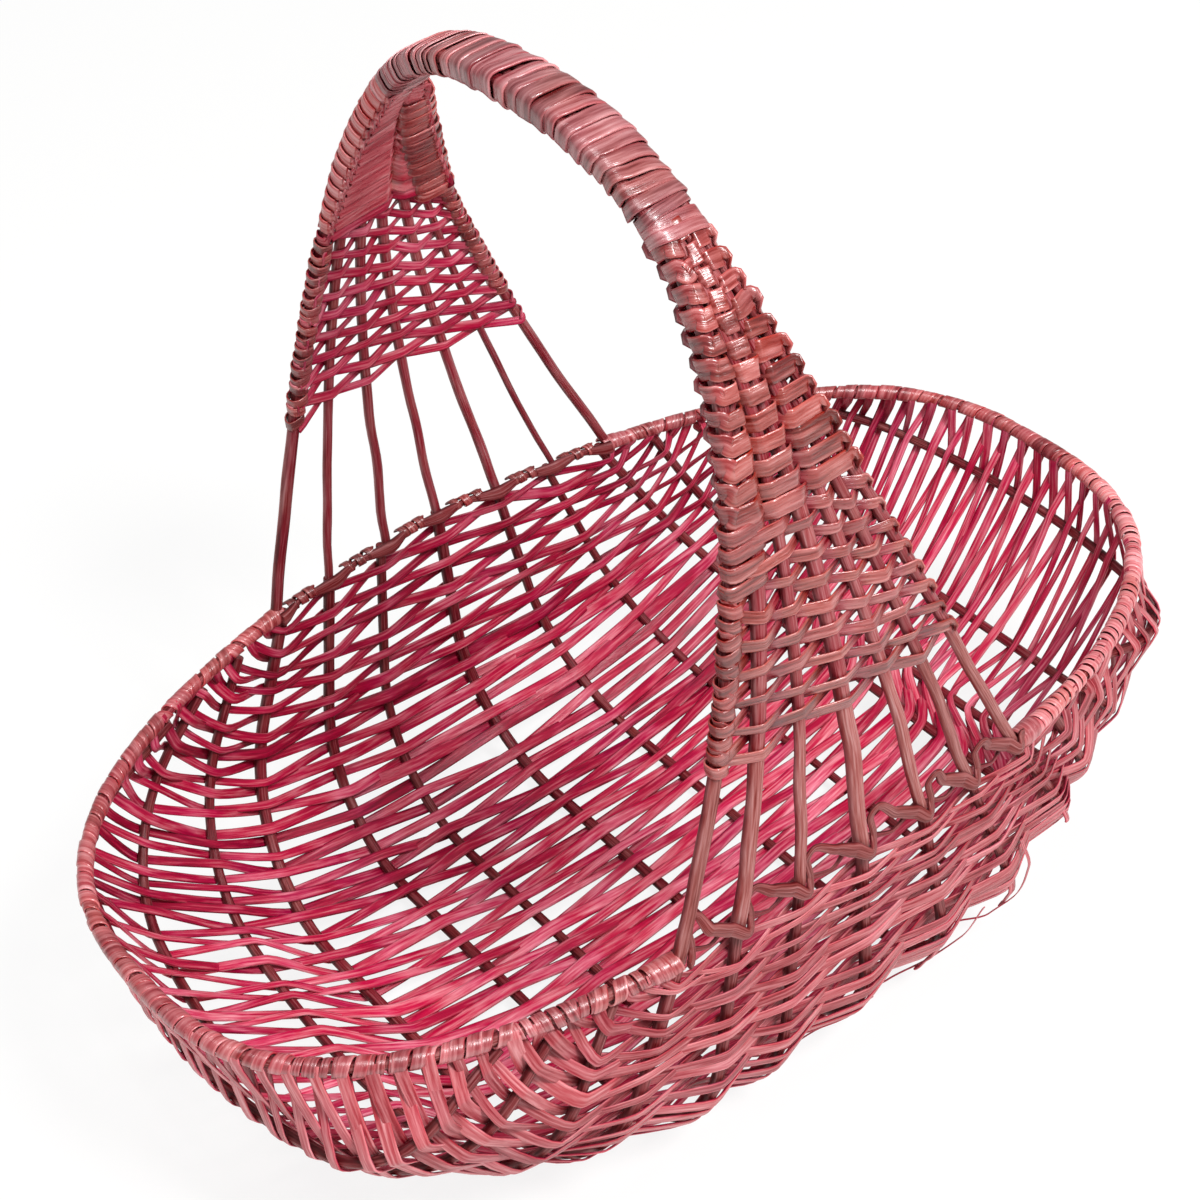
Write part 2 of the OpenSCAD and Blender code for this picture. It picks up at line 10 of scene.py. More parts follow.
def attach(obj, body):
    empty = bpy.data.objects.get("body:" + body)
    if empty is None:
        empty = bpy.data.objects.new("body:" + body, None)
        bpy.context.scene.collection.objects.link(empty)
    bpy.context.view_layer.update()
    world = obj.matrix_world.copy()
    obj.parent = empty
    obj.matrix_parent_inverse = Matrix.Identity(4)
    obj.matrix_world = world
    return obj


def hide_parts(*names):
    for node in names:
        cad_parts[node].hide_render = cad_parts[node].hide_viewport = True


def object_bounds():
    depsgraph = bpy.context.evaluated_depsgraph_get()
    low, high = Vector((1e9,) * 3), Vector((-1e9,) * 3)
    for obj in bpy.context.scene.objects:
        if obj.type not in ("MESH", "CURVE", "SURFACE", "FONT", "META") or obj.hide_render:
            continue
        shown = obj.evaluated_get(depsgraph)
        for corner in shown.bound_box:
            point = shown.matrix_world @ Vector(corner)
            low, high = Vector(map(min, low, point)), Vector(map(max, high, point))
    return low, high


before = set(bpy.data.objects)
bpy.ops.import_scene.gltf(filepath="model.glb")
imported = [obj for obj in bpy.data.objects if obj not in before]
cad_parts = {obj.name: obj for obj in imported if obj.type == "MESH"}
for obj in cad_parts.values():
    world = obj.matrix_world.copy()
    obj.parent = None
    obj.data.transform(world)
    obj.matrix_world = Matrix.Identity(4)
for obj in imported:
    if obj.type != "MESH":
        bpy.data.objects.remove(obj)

bl_info = {
    "name": "Egg Basket Dresser",
    "version": (1, 0, 0),
    "blender": (4, 5, 0),
    "location": "View3D > Sidebar > Basket",
    "description": "Weaves the visible willow of an egg basket round its packed frame",
    "category": "Object",
}

CAD_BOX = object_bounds()
BODY = "root"
X, Y, Z = (Vector(axis) for axis in ((1, 0, 0), (0, 1, 0), (0, 0, 1)))
# Length over which a direction is measured.
STEP = 0.001

# Diameters of the seven handle rods at the front, where they are thick, and at the back.
BUTTS = (0.0056, 0.0062, 0.0046, 0.0066, 0.0048, 0.0048, 0.0048)
TIPS = (0.0052, 0.0038, 0.0042, 0.0040, 0.0046, 0.0030, 0.0046)
# How far each handle rib stands off an even spacing, at the rim and at the floor.
DRIFT_RIM = (0, -0.003, -0.003, -0.001, 0.002, 0, -0.001)
DRIFT_FLOOR = (0.0055, 0.0075, -0.0055, -0.002, 0.001, 0, -0.002)
# How far each rod's thin end stands off its rib at the back.
DRIFT_BACK = (-0.004, 0, 0.003, 0, 0, 0.004, 0.005)
# How far the rows are drawn toward the rim on the handle ribs, by distance from the middle one.
GATHER = (0, 0.001, 0.005, 0.011)
# Rows that end on the rim before each end rib starts, and the half angle of its bowed middle.
END_ROWS = (4, 8, 12)
END_BOWS = (12, 15, 17)
# Distance of the foot of each end rib from the rim's tip, and its bend, at the left and right end.
END_INSETS = {-1: (0.069, 0.028, 0.008), 1: (0.081, 0.049, 0.010)}
END_CORNERS = {-1: (0.070, 0.070, 0.040), 1: (0.070, 0.070, 0.056)}
END_RIB_DIAMETER = 0.0044
# Skeins loose on the front wall: width, then stops as place between ribs, row and distance out.
LOOSE = (
    (0.0017, ((2.30, 70, 0.003), (2.22, 66, 0.006), (2.00, 62, 0.007), (1.75, 60, 0.007), (1.45, 58, 0.003))),
    (0.0017, ((1.60, 64, 0.003), (1.32, 61, 0.006), (1.00, 58, 0.008), (0.65, 57, 0.007), (0.30, 56, 0.003))),
    (0.0013, ((0.25, 61, 0.003), (-0.10, 57, 0.006), (-0.50, 56, 0.006), (-0.80, 54, 0.002))),
    (0.0046, ((2.10, 64, 0.001), (1.99, 62, 0.005), (1.90, 60, 0.007))),
    (0.0046, ((1.10, 63, 0.001), (0.98, 60, 0.005), (0.90, 58, 0.008))),
    (0.0040, ((3.05, 66, 0.002), (2.92, 65, 0.006))),
)
# Wraps on the panels' outer rods: first and last rod, rises, spacing, and distance off the rods.
EDGE_WRAPS = {
    "front": ((1, 1, 0.083, 0.150, 0.0054, 0.0007), (1, 2, 0.150, 0.170, 0.0062, 0.0007)),
    "back": ((1, 1, 0.092, 0.176, 0.0046, 0.0007), (7, 7, 0.110, 0.176, 0.0046, 0.0007),
             (6, 7, 0.178, 0.238, 0.0058, 0.0022)),
}
LAST_RIB = 6
MIDDLE = 4


# ---- Sizes and colours ----


def length(text, default):
    return FloatProperty(description=text, default=default, min=0.0, unit="LENGTH", precision=4)


def dye(text, code):
    """A colour property from a web colour code."""
    parts = [int(code[i:i + 2], 16) / 255 for i in (0, 2, 4)]
    linear = [c / 12.92 if c <= 0.04045 else ((c + 0.055) / 1.055) ** 2.4 for c in parts]
    return FloatVectorProperty(description=text, default=linear, min=0.0, max=1.0, size=3, subtype="COLOR")


class BasketBowlSizes(bpy.types.PropertyGroup):
    rim_length: length("Length of the rim to the hoop's centre", 0.480)
    rim_width: length("Width of the rim at the handle", 0.276)
    rim_height: length("Height of the rim's middle", 0.139)
    right_droop: length("Fall of the rim to its right end", 0.024)
    floor_half: length("Half the length of the level floor", 0.030)
    rib_corner: length("Radius of the bend from wall to floor", 0.064)
    outer_corner: length("That bend on the outermost handle ribs", 0.076)
    rib_pitch: length("Spacing of the handle ribs at the rim", 0.029)
    floor_pitch: length("Their spacing along the floor", 0.048)
    hoop_radius: length("Radius of the rim hoops", 0.0023)
    rows: IntProperty(description="Rows of weavers round the bowl", default=84, min=8)
    crowding: FloatProperty(description="How much closer the front rows lie", default=0.12, min=0.0, max=0.3)
    rib_room: length("From an end rib's top to the rows beside it", 0.0035)
    weaver: length("Greatest width of a weaver", 0.0062)
    skein: length("Thickness of a weaver", 0.0012)
    first_row: length("From the rim to the first row", 0.009)
    shift: length("How far a crossing strays along its rib", 0.0016)


class BasketHandleSizes(bpy.types.PropertyGroup):
    rise: length("Height of the crown above the rim", 0.282)
    neck: length("Rise where the rods have drawn together", 0.250)
    lean: length("How far the crown leans to the left", 0.0155)
    pitch: length("Sideways spacing of the rods in the grip", 0.0023)
    layer: length("Distance of the grip's two layers of rods from its middle", 0.0020)
    front_bottom: length("Rise of the front panel's lowest row", 0.082)
    back_bottom: length("Rise of the back panel's lowest row", 0.090)
    panel_top: length("Rise where the back neck starts", 0.178)
    front_top: length("Rise where the front neck starts", 0.166)
    pair_from: length("Rise from which the first two rods are woven as one", 0.146)
    row_pitch: length("Spacing of the front panel's rows", 0.0056)
    back_pitch: length("Spacing of the back panel's rows", 0.0050)
    back_neck_pitch: length("Spacing of the back neck's rows", 0.0029)
    neck_pitch: length("Spacing of the front neck's rows", 0.0041)
    panel_skein: length("Width of the panels' skeins", 0.0046)
    neck_skein: length("Width of the necks' skeins", 0.0069)
    grip_skein: length("Spacing of the grip's turns", 0.0066)
    grip_fine: length("Spacing of the fine turns behind the crown", 0.0028)
    grip_half: length("Half the thickness of the rods in the grip", 0.0022)
    border: length("Diameter of the border rods", 0.0050)


class BasketColours(bpy.types.PropertyGroup):
    crimson: dye("Inner side of the weavers", "ae2442")
    pink: dye("Where the dye has taken lightly", "cc5e7a")
    dusty: dye("Faded outer side", "ae575c")
    terracotta: dye("Rubbed rim and handle", "b45852")
    bark_deep: dye("Inner side of the rods", "8c2c36")
    bark_faded: dye("Outer side of the rods", "9c5450")
    floor: dye("Plain pale floor", "f6f5f3")


# ---- Form of the bowl ----


def smooth(t):
    t = min(max(t, 0.0), 1.0)
    return t * t * (3 - 2 * t)


def lookup(value, keys, values):
    """Linear interpolation in a rising list of keys."""
    if value <= keys[0]:
        return values[0]
    if value >= keys[-1]:
        return values[-1]
    high = bisect.bisect_right(keys, value)
    low = high - 1
    t = (value - keys[low]) / (keys[high] - keys[low])
    return values[low] + (values[high] - values[low]) * t


def power(value, exponent):
    return math.copysign(abs(value) ** exponent, value)


class Arc:
    """A bow squarer than an ellipse, looked up by its running length."""

    def __init__(self, wide, high, square_wide, square_high, angles):
        points = [(wide * power(math.cos(a), 2 / square_wide), high * power(math.sin(a), 2 / square_high))
                  for a in angles]
        self.keys = [0.0]
        for a, b in zip(points, points[1:]):
            self.keys.append(self.keys[-1] + math.dist(a, b))
        self.wide, self.high = zip(*points)
        self.length = self.keys[-1]

    def at(self, s):
        return lookup(s, self.keys, self.wide), lookup(s, self.keys, self.high)


class Bowl:
    """The rim, the ribs and the places where rows cross them, in metres."""

    SQUARE_X, SQUARE_Y, KEEL = 2.2, 2.7, 2.4
    DROOP_CURVE = 0.8
    # Room from a hoop's end to the rod beside it, and from there to the first row.
    BUTT_GAP, END_GAP = 0.0008, 0.003
    # Share of the gathering that is left on the front wall.
    FRONT_GATHER = 0.4
    STEPS = 240

    def __init__(self, sizes):
        self.z = sizes
        self.half_length = sizes.rim_length / 2
        self.half_width = sizes.rim_width / 2
        outer_x = sizes.rib_pitch * (MIDDLE - 1)
        end_angle = math.acos((outer_x / self.half_length) ** (self.SQUARE_X / 2))
        angles = [end_angle * (1 - 2 * i / self.STEPS) for i in range(self.STEPS + 1)]
        self.arc = Arc(self.half_length, self.half_width, self.SQUARE_X, self.SQUARE_Y, angles)
        self.end_length = self.arc.length
        self.corner_gap = sizes.hoop_radius + max(BUTTS) / 2 + self.BUTT_GAP
        self.first_end = self.corner_gap + self.END_GAP
        tops = 2 * len(END_ROWS)
        free = self.end_length - 2 * self.first_end - 2 * tops * sizes.rib_room
        self.row_step = free / (sizes.rows - 1 - tops)
        self.ribs = {i: Rib(self, i) for i in range(-LAST_RIB, LAST_RIB + 1)}

    def width_at(self, x):
        t = min(abs(x) / self.half_length, 1.0)
        return self.half_width * (1 - t ** self.SQUARE_X) ** (1 / self.SQUARE_Y)

    def rim_z(self, x):
        droop = self.z.right_droop if x > 0 else 0.0
        return self.z.rim_height - droop * (abs(x) / self.half_length) ** self.DROOP_CURVE

    def keel_z(self, x):
        t = min(max((abs(x) - self.z.floor_half) / (self.half_length - self.z.floor_half), 0.0), 1.0)
        return self.z.rim_height * (1 - (1 - t ** self.KEEL) ** (1 / self.KEEL))

    def row_end(self, k):
        """Place of row k along a hoop; the rows part where an end rib starts between them."""
        passed = sum((k >= n) + (k >= self.z.rows - n) for n in END_ROWS)
        return self.first_end + k * self.row_step + passed * (2 * self.z.rib_room - self.row_step)

    def rim_point(self, end, s):
        x, y = self.arc.at(s)
        return Vector((end * x, y, self.rim_z(end * x)))

    def hoop_frame(self, end, s):
        """Centre of the hoop and the directions outward and up from it."""
        way = (self.rim_point(end, s + 2 * STEP) - self.rim_point(end, s - 2 * STEP)).normalized()
        up = (Z - way * way.z).normalized()
        out = way.cross(up)
        centre = self.rim_point(end, s)
        if out.dot(Vector((centre.x, centre.y, 0))) < 0:
            out = -out
        return centre, out, up

    def crosses(self, i, k):
        if abs(i) < MIDDLE:
            return True
        skipped = END_ROWS[abs(i) - MIDDLE]
        return skipped <= k <= self.z.rows - 1 - skipped

    def row_on_rib(self, i, k):
        reach = 2 * self.ribs[i].reach
        if abs(i) < MIDDLE:
            t = k / (self.z.rows - 1)
            share = t * (1 + self.z.crowding * (1 - t ** 3))
            drawn = GATHER[abs(i)] * math.sin(2 * math.pi * t) * (1 if t < 0.5 else self.FRONT_GATHER)
            return self.z.first_row + share * (reach - 2 * self.z.first_row) - drawn
        start = self.ribs[i].start
        return reach * (self.row_end(k) - start) / (self.end_length - 2 * start)

    def row_space(self, i, k):
        """Room along rib i for row k, from the rows on its two sides."""
        return (self.row_on_rib(i, k + 1) - self.row_on_rib(i, k - 1)) / 2

    def station(self, i, k, shift=0.0):
        """Point on rib i where row k crosses it, with the rib's outward normal and direction."""
        return self.ribs[i].frame(self.row_on_rib(i, k) + shift)


class Rib:
    """A U-shaped rib in a plane that leans out from the rim to its foot."""

    def __init__(self, bowl, i):
        z = bowl.z
        side = 1 if i > 0 else -1
        n = i + MIDDLE - 1
        self.bow = 0
        if abs(i) >= MIDDLE:
            place = abs(i) - MIDDLE
            self.bend, self.bow = END_CORNERS[side][place], END_BOWS[place]
            self.radius = END_RIB_DIAMETER / 2
            self.start = bowl.row_end(END_ROWS[place]) - z.rib_room
            top_x = bowl.rim_point(side, self.start).x
            foot_x = side * (bowl.half_length - END_INSETS[side][place])
        else:
            self.radius = (BUTTS[n] + TIPS[n]) / 4
            self.bend = z.outer_corner if abs(i) == MIDDLE - 1 else z.rib_corner
            self.start = 0.0
            top_x = i * z.rib_pitch + DRIFT_RIM[n]
            foot_x = i * z.floor_pitch + DRIFT_FLOOR[n]
        lift = self.radius + 2 * z.skein
        foot = Vector((foot_x, 0, bowl.keel_z(foot_x) + lift))
        drop = z.hoop_radius + self.radius + z.skein if self.bow else 0.0
        self.top = Vector((top_x, 0, bowl.rim_z(top_x) - drop))
        self.half = bowl.width_at(top_x)
        self.depth = (foot - self.top).length
        self.down = (foot - self.top) / self.depth
        if self.bow:
            turn = math.radians(self.bow)
            self.bow_radius = (self.half - self.bend) / math.sin(turn) + self.bend
            self.wall = self.depth - self.bow_radius + (self.bow_radius - self.bend) * math.cos(turn)
            self.floor = self.bow_radius * turn
        else:
            self.wall = self.depth - self.bend
            self.floor = self.half - self.bend
        self.reach = self.wall + self.bend * math.radians(90 - self.bow) + self.floor

    def flat(self, s):
        """Place, normal and way in the rib's plane, as pairs of (sideways, down)."""
        if s < self.wall:
            return (self.half, s), (1, 0), (0, 1)
        if s < self.reach - self.floor:
            a = (s - self.wall) / self.bend
            c, q = math.cos(a), math.sin(a)
            return (self.half - self.bend + self.bend * c, self.wall + self.bend * q), (c, q), (-q, c)
        if self.bow:
            a = (self.reach - s) / self.bow_radius
            c, q = math.cos(a), math.sin(a)
            return (self.bow_radius * q, self.depth - self.bow_radius * (1 - c)), (q, c), (-c, q)
        return (self.reach - s, self.depth), (0, 1), (-1, 0)

    def frame(self, s):
        front = s > self.reach
        place, normal, way = self.flat(2 * self.reach - s if front else s)
        side = -1 if front else 1
        return (self.top + self.down * place[1] + Y * side * place[0],
                self.down * normal[1] + Y * side * normal[0],
                side * self.down * way[1] + Y * way[0])


# ---- Form of the handle ----


class Handle:
    """The arch, the seven rods of the fan and the depth of the bundle, in metres."""

    SQUARE = 2.54
    FRONT_FAN, BACK_FAN = 1.2, 1.1
    # Length over which the rods part into two layers, and how far below the panel's top that begins.
    LAYERS_OVER, LAYERS_LOWER = 0.045, 0.010
    STEPS = 200

    def __init__(self, sizes, bowl):
        self.z = sizes
        self.bowl = bowl
        angles = [math.pi * (1 - j / self.STEPS) for j in range(self.STEPS + 1)]
        arc = Arc(bowl.half_width, sizes.rise, self.SQUARE, self.SQUARE, angles)
        self.at, self.length = arc.at, arc.length
        half = self.STEPS // 2 + 1
        self.rises, self.rise_keys = arc.high[:half], arc.keys[:half]
        self.grip_spread = sizes.pitch / bowl.z.rib_pitch

    def way(self, s):
        a, b = self.at(s - STEP), self.at(s + STEP)
        return Vector((0, b[0] - a[0], b[1] - a[1])).normalized()

    def out(self, s):
        w = self.way(s)
        return Vector((0, -w.z, w.y))

    def s_of(self, rise):
        return lookup(rise, self.rises, self.rise_keys)

    def spread(self, s):
        left = max(0.0, 1 - self.at(s)[1] / self.z.neck)
        curve = self.BACK_FAN if s > self.length / 2 else self.FRONT_FAN
        return self.grip_spread + (1 - self.grip_spread) * left ** curve

    def lean(self, rise):
        return -self.z.lean * rise / self.z.rise

    def layering(self, rise):
        return smooth((rise - self.z.panel_top + self.LAYERS_LOWER) / self.LAYERS_OVER)

    def radius(self, n, s):
        return (BUTTS[n - 1] + (TIPS[n - 1] - BUTTS[n - 1]) * s / self.length) / 2

    def centre(self, s):
        y, rise = self.at(s)
        return Vector((self.lean(rise), y, self.bowl.z.rim_height + rise))

    def rod(self, n, s, layered=True):
        y, rise = self.at(s)
        bowl = self.bowl
        x0 = (n - MIDDLE) * bowl.z.rib_pitch + DRIFT_RIM[n - 1]
        low = 1 - rise / self.z.rise
        narrow = 1 - (1 - bowl.width_at(x0) / bowl.half_width) * low
        drop = (bowl.z.rim_height - bowl.rim_z(x0)) * low
        if s > self.length / 2:
            x0 += DRIFT_BACK[n - 1] * low
        point = Vector((self.lean(rise) + x0 * self.spread(s), y * narrow,
                        bowl.z.rim_height + rise - drop))
        if layered:
            point += self.out(s) * (1 if n % 2 else -1) * self.z.layer * self.layering(rise)
        return point


# ---- Strands and their sweep ----


def linked(name, data):
    """A new object in the scene."""
    obj = bpy.data.objects.new(name, data)
    bpy.context.scene.collection.objects.link(obj)
    return obj


class Strand:
    """One skein or rod: points with the direction of the face, the size and the fading at each."""

    def __init__(self, tone, fade):
        self.tone, self.fade = tone, fade
        self.points = []

    def add(self, point, face, size, fade=None):
        self.points.append((point.copy(), face.copy(), size, self.fade if fade is None else fade))


def flow(stations, steps, pull, tight=1.0):
    """A smooth line through stations of (point, face, way or None), as (point, face, t) samples."""
    ways = []
    for j, (point, face, way) in enumerate(stations):
        if way is None:
            way = stations[min(j + 1, len(stations) - 1)][0] - stations[max(j - 1, 0)][0]
            way = way - face * way.dot(face)
        ways.append(way.normalized())
    line = []
    for j in range(len(stations) - 1):
        p0, f0 = stations[j][:2]
        p1, f1 = stations[j + 1][:2]
        span = min((p1 - p0).length * pull, tight)
        m0, m1 = ways[j] * span, ways[j + 1] * span
        for q in range(steps):
            t = (1 - math.cos(math.pi * q / steps)) / 2
            a, b = t * t * (3 - 2 * t), t * (1 - t)
            point = p0 * (1 - a) + p1 * a + m0 * (b * (1 - t)) - m1 * (b * t)
            line.append((point, f0.lerp(f1, t), j + t))
    line.append((stations[-1][0], stations[-1][1], len(stations) - 1.0))
    return line


def flowing(tone, fade, stations, size, **bends):
    """A strand along the smooth line through stations, with its size given for each place."""
    strand = Strand(tone, fade)
    for point, face, t in flow(stations, **bends):
        strand.add(point, face, size(t))
    return strand


def wave(seed, t, scale=1.0):
    """Smooth noise from -1 to 1 along t, the same each run."""
    return noise.noise(Vector((seed * 7.31, t * scale, seed * 1.17)))


def guide_object(name, strands):
    """An object of plain edges along the strands, with their attributes on its points."""
    points, edges, faces = [], [], []
    values = {"size": [], "tone": [], "fade": []}
    for strand in strands:
        first = len(points)
        line = [p[0] for p in strand.points]
        points += line
        edges += [(first + j, first + j + 1) for j in range(len(line) - 1)]
        for j, (_, face, size, fade) in enumerate(strand.points):
            way = (line[min(j + 1, len(line) - 1)] - line[max(j - 1, 0)]).normalized()
            faces.extend((face - way * face.dot(way)).normalized())
            for key, value in (("size", size), ("tone", strand.tone), ("fade", fade)):
                values[key].append(value)
    mesh = bpy.data.meshes.new(name + "_guide")
    mesh.from_pydata(points, edges, [])
    mesh.attributes.new("face", "FLOAT_VECTOR", "POINT").data.foreach_set("vector", faces)
    for key in values:
        mesh.attributes.new(key, "FLOAT", "POINT").data.foreach_set("value", values[key])
    return linked(name + "_guide", mesh)


# How the names of nodes start that aren't shader nodes.
OTHER_NODES = ("GeometryNode", "NodeGroup")


class Tree:
    """A short way to lay out nodes and link them; names of shader nodes lack their common start."""

    def __init__(self, tree):
        self.tree = tree
        tree.nodes.clear()

    def add(self, kind, inputs=None, **settings):
        node = self.tree.nodes.new(kind if kind.startswith(OTHER_NODES) else "ShaderNode" + kind)
        node.location.x = 180 * len(self.tree.nodes)
        for key, value in settings.items():
            setattr(node, key, value)
        for key, value in (inputs or {}).items():
            socket = node.inputs[key]
            if isinstance(value, bpy.types.NodeSocket):
                self.tree.links.new(value, socket)
            else:
                socket.default_value = value
        return node

    def out(self, kind, inputs=None, **settings):
        """The first output of a new node."""
        return self.add(kind, inputs, **settings).outputs[0]

    def math(self, operation, *values):
        return self.out("Math", dict(enumerate(values)), operation=operation)

    def times(self, a, b):
        return self.math("MULTIPLY", a, b)

    def plus(self, a, b):
        return self.math("ADD", a, b)

    def minus(self, a, b):
        return self.math("SUBTRACT", a, b)


def sweep_tree():
    """Geometry nodes that sweep a flat or round section along guide edges."""
    name = "willow_sweep"
    if name in bpy.data.node_groups:
        return bpy.data.node_groups[name]
    group = bpy.data.node_groups.new(name, "GeometryNodeTree")
    for label, kind in (("Guides", "Geometry"), ("Sides", "Int"), ("Flatness", "Float"),
                        ("Width power", "Float"), ("Depth power", "Float"), ("Finish", "Material")):
        group.interface.new_socket(label, in_out="INPUT", socket_type="NodeSocket" + kind)
    group.interface.new_socket("Willow", in_out="OUTPUT", socket_type="NodeSocketGeometry")
    t = Tree(group)
    given = t.add("NodeGroupInput").outputs

    def attribute(key, kind="FLOAT"):
        return t.out("GeometryNodeInputNamedAttribute", {"Name": key}, data_type=kind)

    def stored(curve, key, value):
        return t.out("GeometryNodeStoreNamedAttribute", {"Geometry": curve, "Name": key, "Value": value},
                     data_type="FLOAT", domain="POINT")

    def shaped(value, exponent):
        return t.times(t.math("POWER", t.math("ABSOLUTE", value), exponent), t.math("SIGN", value))

    curve = t.out("GeometryNodeMeshToCurve", {"Mesh": given["Guides"]})
    normal = attribute("face", "FLOAT_VECTOR")
    curve = t.out("GeometryNodeSetCurveNormal", {"Curve": curve, "Normal": normal}, mode="FREE")
    curve = stored(curve, "run", t.add("GeometryNodeSplineParameter").outputs["Length"])
    section = t.out("GeometryNodeCurvePrimitiveCircle", {"Resolution": given["Sides"], "Radius": 1.0},
                    mode="RADIUS")
    place = t.add("SeparateXYZ", {0: t.out("GeometryNodeInputPosition")}).outputs
    for key, axis, shape in (("side", "X", "Depth power"), ("across", "Y", "Width power")):
        section = stored(section, key, shaped(place[axis], given[shape]))
    deep = t.times(t.times(attribute("side"), given["Flatness"]), 0.5)
    place = t.out("CombineXYZ", {"X": deep, "Y": t.times(attribute("across"), 0.5)})
    section = t.out("GeometryNodeSetPosition", {"Geometry": section, "Position": place})
    mesh = t.out("GeometryNodeCurveToMesh", {"Curve": curve, "Profile Curve": section,
                                             "Scale": attribute("size"), "Fill Caps": True})
    for kind in ("GeometryNodeSetShadeSmooth", "GeometryNodeRealizeInstances"):
        mesh = t.out(kind, {"Geometry": mesh})
    mesh = t.out("GeometryNodeSetMaterial", {"Geometry": mesh, "Material": given["Finish"]})
    t.add("NodeGroupOutput", {0: mesh})
    return group


def sweep(name, strands, finish, sides=10, flat=0.24, wide_power=0.5, deep_power=0.35):
    """A mesh object of strands swept by the willow tree."""
    guide = guide_object(name, strands)
    group = sweep_tree()
    modifier = guide.modifiers.new("sweep", "NODES")
    modifier.node_group = group
    values = {"Sides": sides, "Flatness": flat, "Width power": wide_power, "Depth power": deep_power,
              "Finish": finish}
    for item in group.interface.items_tree:
        if item.name in values:
            modifier[item.identifier] = values[item.name]
    graph = bpy.context.evaluated_depsgraph_get()
    mesh = bpy.data.meshes.new_from_object(guide.evaluated_get(graph), depsgraph=graph)
    mesh.name = name
    bpy.data.objects.remove(guide)
    return linked(name, mesh)


# ---- Finishes ----


# Material, dyes inside, outside and in patches; then grain and streaks across the skein, roughness,
# shine, brightness and richness of the dye, and whether the two faces differ.
FINISHES = {
    "weaver": ("dyed_weaver", "crimson", "dusty", "pink", 6.0, 2.2, 0.30, 0.35, 0.46, 1.31, True),
    "handle": ("dyed_handle_skein", "crimson", "terracotta", "dusty", 6.0, 2.0, 0.18, 1.0, 0.11, 1.36, False),
    "grip": ("dyed_grip_skein", "crimson", "dusty", "terracotta", 5.0, 1.8, 0.18, 1.0, 0.24, 1.20, False),
    "rim": ("dyed_rim_skein", "crimson", "dusty", "terracotta", 5.0, 1.8, 0.20, 1.0, 0.39, 1.33, False),
    "bark": ("dyed_bark", "bark_deep", "bark_faded", "bark_faded", 9.0, 5.0, 0.34, 0.30, 0.38, 1.28, True),
}
# Scale of the patches, and of fibres and fine grain along the run.
PATCHES, FIBRES, FINE = 38.0, 55.0, 260.0
# From which side of the section the outer dye starts and is whole, and how unevenly it wears.
FACES, WEAR = (-0.5, 0.6), 0.3
# Where patches start and are whole, their strength, and how much of it the outside loses.
BLUSH_FROM, BLUSH, BLUSH_LOST = (0.46, 0.68), 0.55, 0.8
# Where streaks start and are whole; how much brighter and paler they and the tone make the dye. The streaks
# are grain with a painted highlight: where they are bright the dye is also paled, as under a gloss.
STREAKS, STREAK_LIGHT, STREAK_HIGHLIGHT_PALE = (0.25, 0.8), 0.95, 0.60
TONE_LIGHT, TONE_PALE = 0.28, 0.06
# Edges of skeins: how narrow; how faded a face must be before its edges turn from painted shade, dark as
# between skeins, to pale wear with a painted highlight; and the darkest dye.
EDGE_POWER, EDGE_SHADE_TO_HIGHLIGHT, DARKEST = 6.0, 0.58, 0.22
# Strength and depth of the relief, and the fine grain's part in relief and roughness.
RELIEF, RELIEF_DEPTH, FINE_RELIEF, FINE_ROUGH = 0.55, 0.0006, 0.5, 0.25


